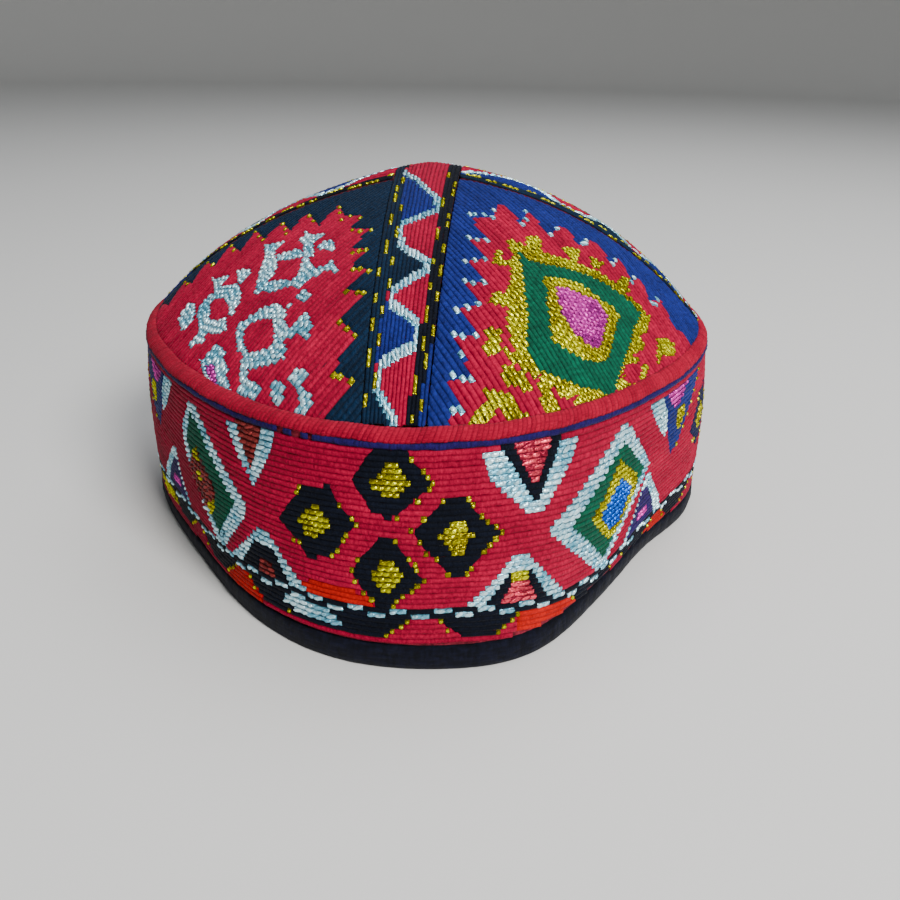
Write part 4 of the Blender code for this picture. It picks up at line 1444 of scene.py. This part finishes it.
def roll_frame(angle):
    """Corners and outward direction of the roll's section, as in the part's source."""
    step = 0.0005
    band_top = band_surface(angle, np.full_like(angle, SHOULDER_HEIGHT))
    around = unit(band_surface(angle + step, np.full_like(angle, SHOULDER_HEIGHT)) - band_top)
    rise = unit(band_top - band_surface(angle, np.full_like(angle, SHOULDER_HEIGHT - step)))
    band_out = unit(np.cross(around, rise))
    share = np.full_like(angle, ROLL_SHARE)
    crown = crown_edge(angle, share)
    crown_around = unit(crown_edge(angle + step, share) - crown)
    crown_up = unit(crown_edge(angle, share - step) - crown)
    crown_out = unit(np.cross(crown_around, crown_up))
    low_out = band_top + rise * SEAM_GAP
    high_out = crown - crown_up * SEAM_GAP
    low_in = low_out - band_out * BAND_CLOTH
    high_in = high_out - crown_out * CROWN_CLOTH
    return low_in, low_out, high_out, high_in, unit(band_out + crown_out)


def wavering(rng, count, periods, size):
    """Random values that change evenly from one knot to the next, round a closed ring."""
    knots = rng.uniform(-size, size, periods)
    places = np.arange(count) / count * periods
    return np.interp(places, np.arange(periods + 1), np.append(knots, knots[0]))


def make_roll():
    """Roll whose outer face is one overcast stitch beside the other."""
    count = ROLL_STITCHES * ROLL_STITCH_COLUMNS
    turn = np.arange(count) / count
    local = np.random.default_rng(SEED + 1)
    plump = 1.0 + wavering(local, count, *ROLL_LUMPS)
    drift = wavering(local, count, *ROLL_DRIFT)
    stitches = {}
    for key, (low, high) in ROLL_STITCH_RANGE.items():
        stitches[key] = np.repeat(local.uniform(low, high, ROLL_STITCHES), ROLL_STITCH_COLUMNS)
    crest = np.abs(np.sin(np.pi * turn * ROLL_STITCHES))
    across = ROLL_LAY["edge"] - crest * (ROLL_LAY["edge"] - ROLL_LAY["crest"])
    rows, lays = [], []
    for step in range(ROLL_ARC_STEPS + 1):
        share = step / ROLL_ARC_STEPS
        angle = 2.0 * np.pi * (turn + ROLL_LEAN * (share - 0.5))
        low_in, low_out, high_out, high_in, outward = roll_frame(angle)
        arch = math.sin(math.pi * share) ** ROLL_ARCH_POWER
        reach = share * (1.0 + 2.0 * ROLL_OVERHANG) - ROLL_OVERHANG + drift + stitches["slip"]
        lift = ROLL_LIFT + ROLL_SWELL * arch * plump + crest * ROLL_STITCH_DEPTH * stitches["depth"]
        base = low_out + (high_out - low_out) * reach[:, None]
        rows.append(base + outward * lift[:, None])
        lays.append(np.stack([np.full(count, share * ROLL_LAY["length"]), across, stitches["tone"]], -1))
    low_in, low_out, high_out, high_in, outward = roll_frame(2.0 * np.pi * turn)
    rows += [high_out, high_in, low_in, low_out]
    hidden = np.stack([np.full(count, ROLL_LAY["inside"]), np.ones(count), stitches["tone"]], -1)
    lays += [hidden] * 4
    points = np.stack(rows, 1).reshape(-1, 3)
    lay = np.stack(lays, 1).reshape(-1, 3)
    roll = make_mesh("overcast_roll", points, ring_faces(count, len(rows)), materials["roll_red"], lay)
    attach(roll, "root")
    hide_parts("seam_roll")


make_roll()


# Binding folded round the lower edge: its section as shares of its thickness and height
HEM_COLUMNS = 420
HEM_SECTION = (
    {"in": 0.16, "up": 0.00}, {"in": 0.04, "up": 0.08}, {"in": 0.00, "up": 0.26},
    {"in": -0.03, "up": 0.50}, {"in": 0.00, "up": 0.72}, {"in": 0.05, "up": 0.90},
    {"in": 0.16, "up": 1.00}, {"in": 0.50, "up": 1.01}, {"in": 0.84, "up": 1.00},
    {"in": 0.96, "up": 0.88}, {"in": 1.00, "up": 0.60}, {"in": 1.00, "up": 0.24},
    {"in": 0.94, "up": 0.06}, {"in": 0.84, "up": 0.00}, {"in": 0.50, "up": 0.00},
)
# Puckers of the soft cloth, and the smaller ones at each hemming stitch along its upper edge
PUCKERS = (
    {"count": 17, "size": 0.10}, {"count": 41, "size": 0.08},
    {"count": 96, "size": 0.10}, {"count": 140, "size": 0.07},
)
HEM_STITCHES = 120
HEM_STITCH_SIZE = 0.22
HEM_EDGE = 0.85            # share of its height from which the hemming stitches pull
PUCKER_DEPTH = 0.00055
PUCKER_BULGE = 1.6         # how much deeper the puckers are in the middle of its height
EDGE_RISE = 0.0006


def make_hem():
    """Soft binding with small puckers where it is hemmed down."""
    local = np.random.default_rng(SEED + 2)
    turn = np.arange(HEM_COLUMNS) / HEM_COLUMNS
    angle = 2.0 * np.pi * turn
    puckers = np.zeros(HEM_COLUMNS)
    for row in PUCKERS:
        puckers += row["size"] * np.sin(2.0 * np.pi * (row["count"] * turn + local.uniform()))
    edge_puckers = HEM_STITCH_SIZE * np.sin(HEM_STITCHES * angle) + 0.5 * puckers
    overlap = 0.5 * (HEM_THICKNESS - BAND_CLOTH)
    out = np.stack([np.cos(angle), np.sin(angle), np.zeros(HEM_COLUMNS)], -1)
    rows = []
    for row in HEM_SECTION:
        edge = band_surface(angle, np.full(HEM_COLUMNS, row["up"] * HEM_HEIGHT))
        along = unit(np.roll(edge, -1, axis=0) - np.roll(edge, 1, axis=0))
        normal = unit(np.cross(along, np.array([0.0, 0.0, 1.0])))
        normal *= np.sign(np.sum(normal * out, -1, keepdims=True))
        at_edge = row["up"] > HEM_EDGE
        depth = np.full(HEM_COLUMNS, overlap - row["in"] * HEM_THICKNESS)
        if row["in"] < 0.5:
            bulge = PUCKER_BULGE * math.sin(math.pi * min(1.0, row["up"])) * puckers
            depth += PUCKER_DEPTH * (bulge + (edge_puckers if at_edge else 0.0))
        point = edge + normal * depth[:, None]
        if at_edge:
            point[:, 2] += EDGE_RISE * edge_puckers
        rows.append(point)
    points = np.stack(rows, 1).reshape(-1, 3)
    hem = make_mesh("folded_binding", points, ring_faces(HEM_COLUMNS, len(rows)), binding_cotton)
    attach(hem, "root")
    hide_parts("hem_binding")


make_hem()


FLOOR = {"radius": 2.2, "bend": 0.6, "wall": 1.6, "bend_steps": 12, "turns": 96}


def add_stage():
    """Plain pale floor that turns up into a wall all round, far from the cap."""
    profile = [(0.0, 0.0), (FLOOR["radius"], 0.0)]
    for step in range(1, FLOOR["bend_steps"] + 1):
        turn = 0.5 * math.pi * step / FLOOR["bend_steps"]
        out = FLOOR["radius"] + FLOOR["bend"] * math.sin(turn)
        profile.append((out, FLOOR["bend"] * (1.0 - math.cos(turn))))
    profile.append((FLOOR["radius"] + FLOOR["bend"], FLOOR["wall"]))
    dish = bmesh.new()
    corners = [dish.verts.new((x, 0.0, z)) for x, z in profile]
    edges = [dish.edges.new(pair) for pair in zip(corners[:-1], corners[1:])]
    bmesh.ops.spin(
        dish, geom=[*corners, *edges], cent=(0.0, 0.0, 0.0), axis=(0.0, 0.0, 1.0),
        angle=2.0 * math.pi, steps=FLOOR["turns"], use_merge=True,
    )
    bmesh.ops.remove_doubles(dish, verts=dish.verts, dist=0.0001)
    bmesh.ops.recalc_face_normals(dish, faces=dish.faces)
    mesh = bpy.data.meshes.new("floor")
    dish.to_mesh(mesh)
    dish.free()
    mesh.shade_smooth()
    # Matt paint, pale enough to show the cap's own shadow softly
    material, tree = start_material("floor_pale_matt")
    shader = add_node(
        tree, "ShaderNodeBsdfPrincipled", None,
        {"Base Color": linear("#CFCDC9"), "Roughness": 0.85, "Specular IOR Level": 0.2},
    )
    add_node(tree, "ShaderNodeOutputMaterial", None, {"Surface": shader.outputs[0]})
    mesh.materials.append(material)
    floor = bpy.data.objects.new("floor", mesh)
    bpy.context.scene.collection.objects.link(floor)


# Places and sizes in metres, power in watts
LIGHTS = (
    {"name": "key", "place": (0.62, -0.74, 0.85), "size": 0.5, "power": 26.0, "colour": "#FFFFFF"},
    {"name": "fill", "place": (-0.9, -0.6, 0.55), "size": 1.2, "power": 0.4, "colour": "#E8F0FF"},
    {"name": "top", "place": (0.2, 0.35, 1.2), "size": 1.0, "power": 10.4, "colour": "#F4F8FF"},
)


LIT_POINT = np.array([0.0, 0.0, 0.05])
SKY = {"colour": "#DDE6EE", "strength": 0.24}


def add_lights():
    """Soft studio light: a key from the right, a weak fill, a wide top light and a pale sky."""
    for row in LIGHTS:
        data = bpy.data.lights.new(row["name"], "AREA")
        data.shape = "DISK"
        data.size = row["size"]
        data.energy = row["power"]
        data.color = linear(row["colour"])[:3]
        lamp = bpy.data.objects.new(row["name"], data)
        bpy.context.scene.collection.objects.link(lamp)
        place = np.array(row["place"])
        aim = unit(LIT_POINT - place)
        side = unit(np.cross(aim, np.array([0.0, 0.0, 1.0])))
        up = np.cross(side, aim)
        columns = np.stack([side, up, -aim, place], 1)
        lamp.matrix_world = Matrix([*columns.tolist(), [0.0, 0.0, 0.0, 1.0]])
    world = bpy.data.worlds.new("studio")
    world.use_nodes = True
    background = world.node_tree.nodes["Background"]
    background.inputs["Color"].default_value = linear(SKY["colour"])
    background.inputs["Strength"].default_value = SKY["strength"]
    bpy.context.scene.world = world


add_stage()
add_lights()

bpy.context.view_layer.update()
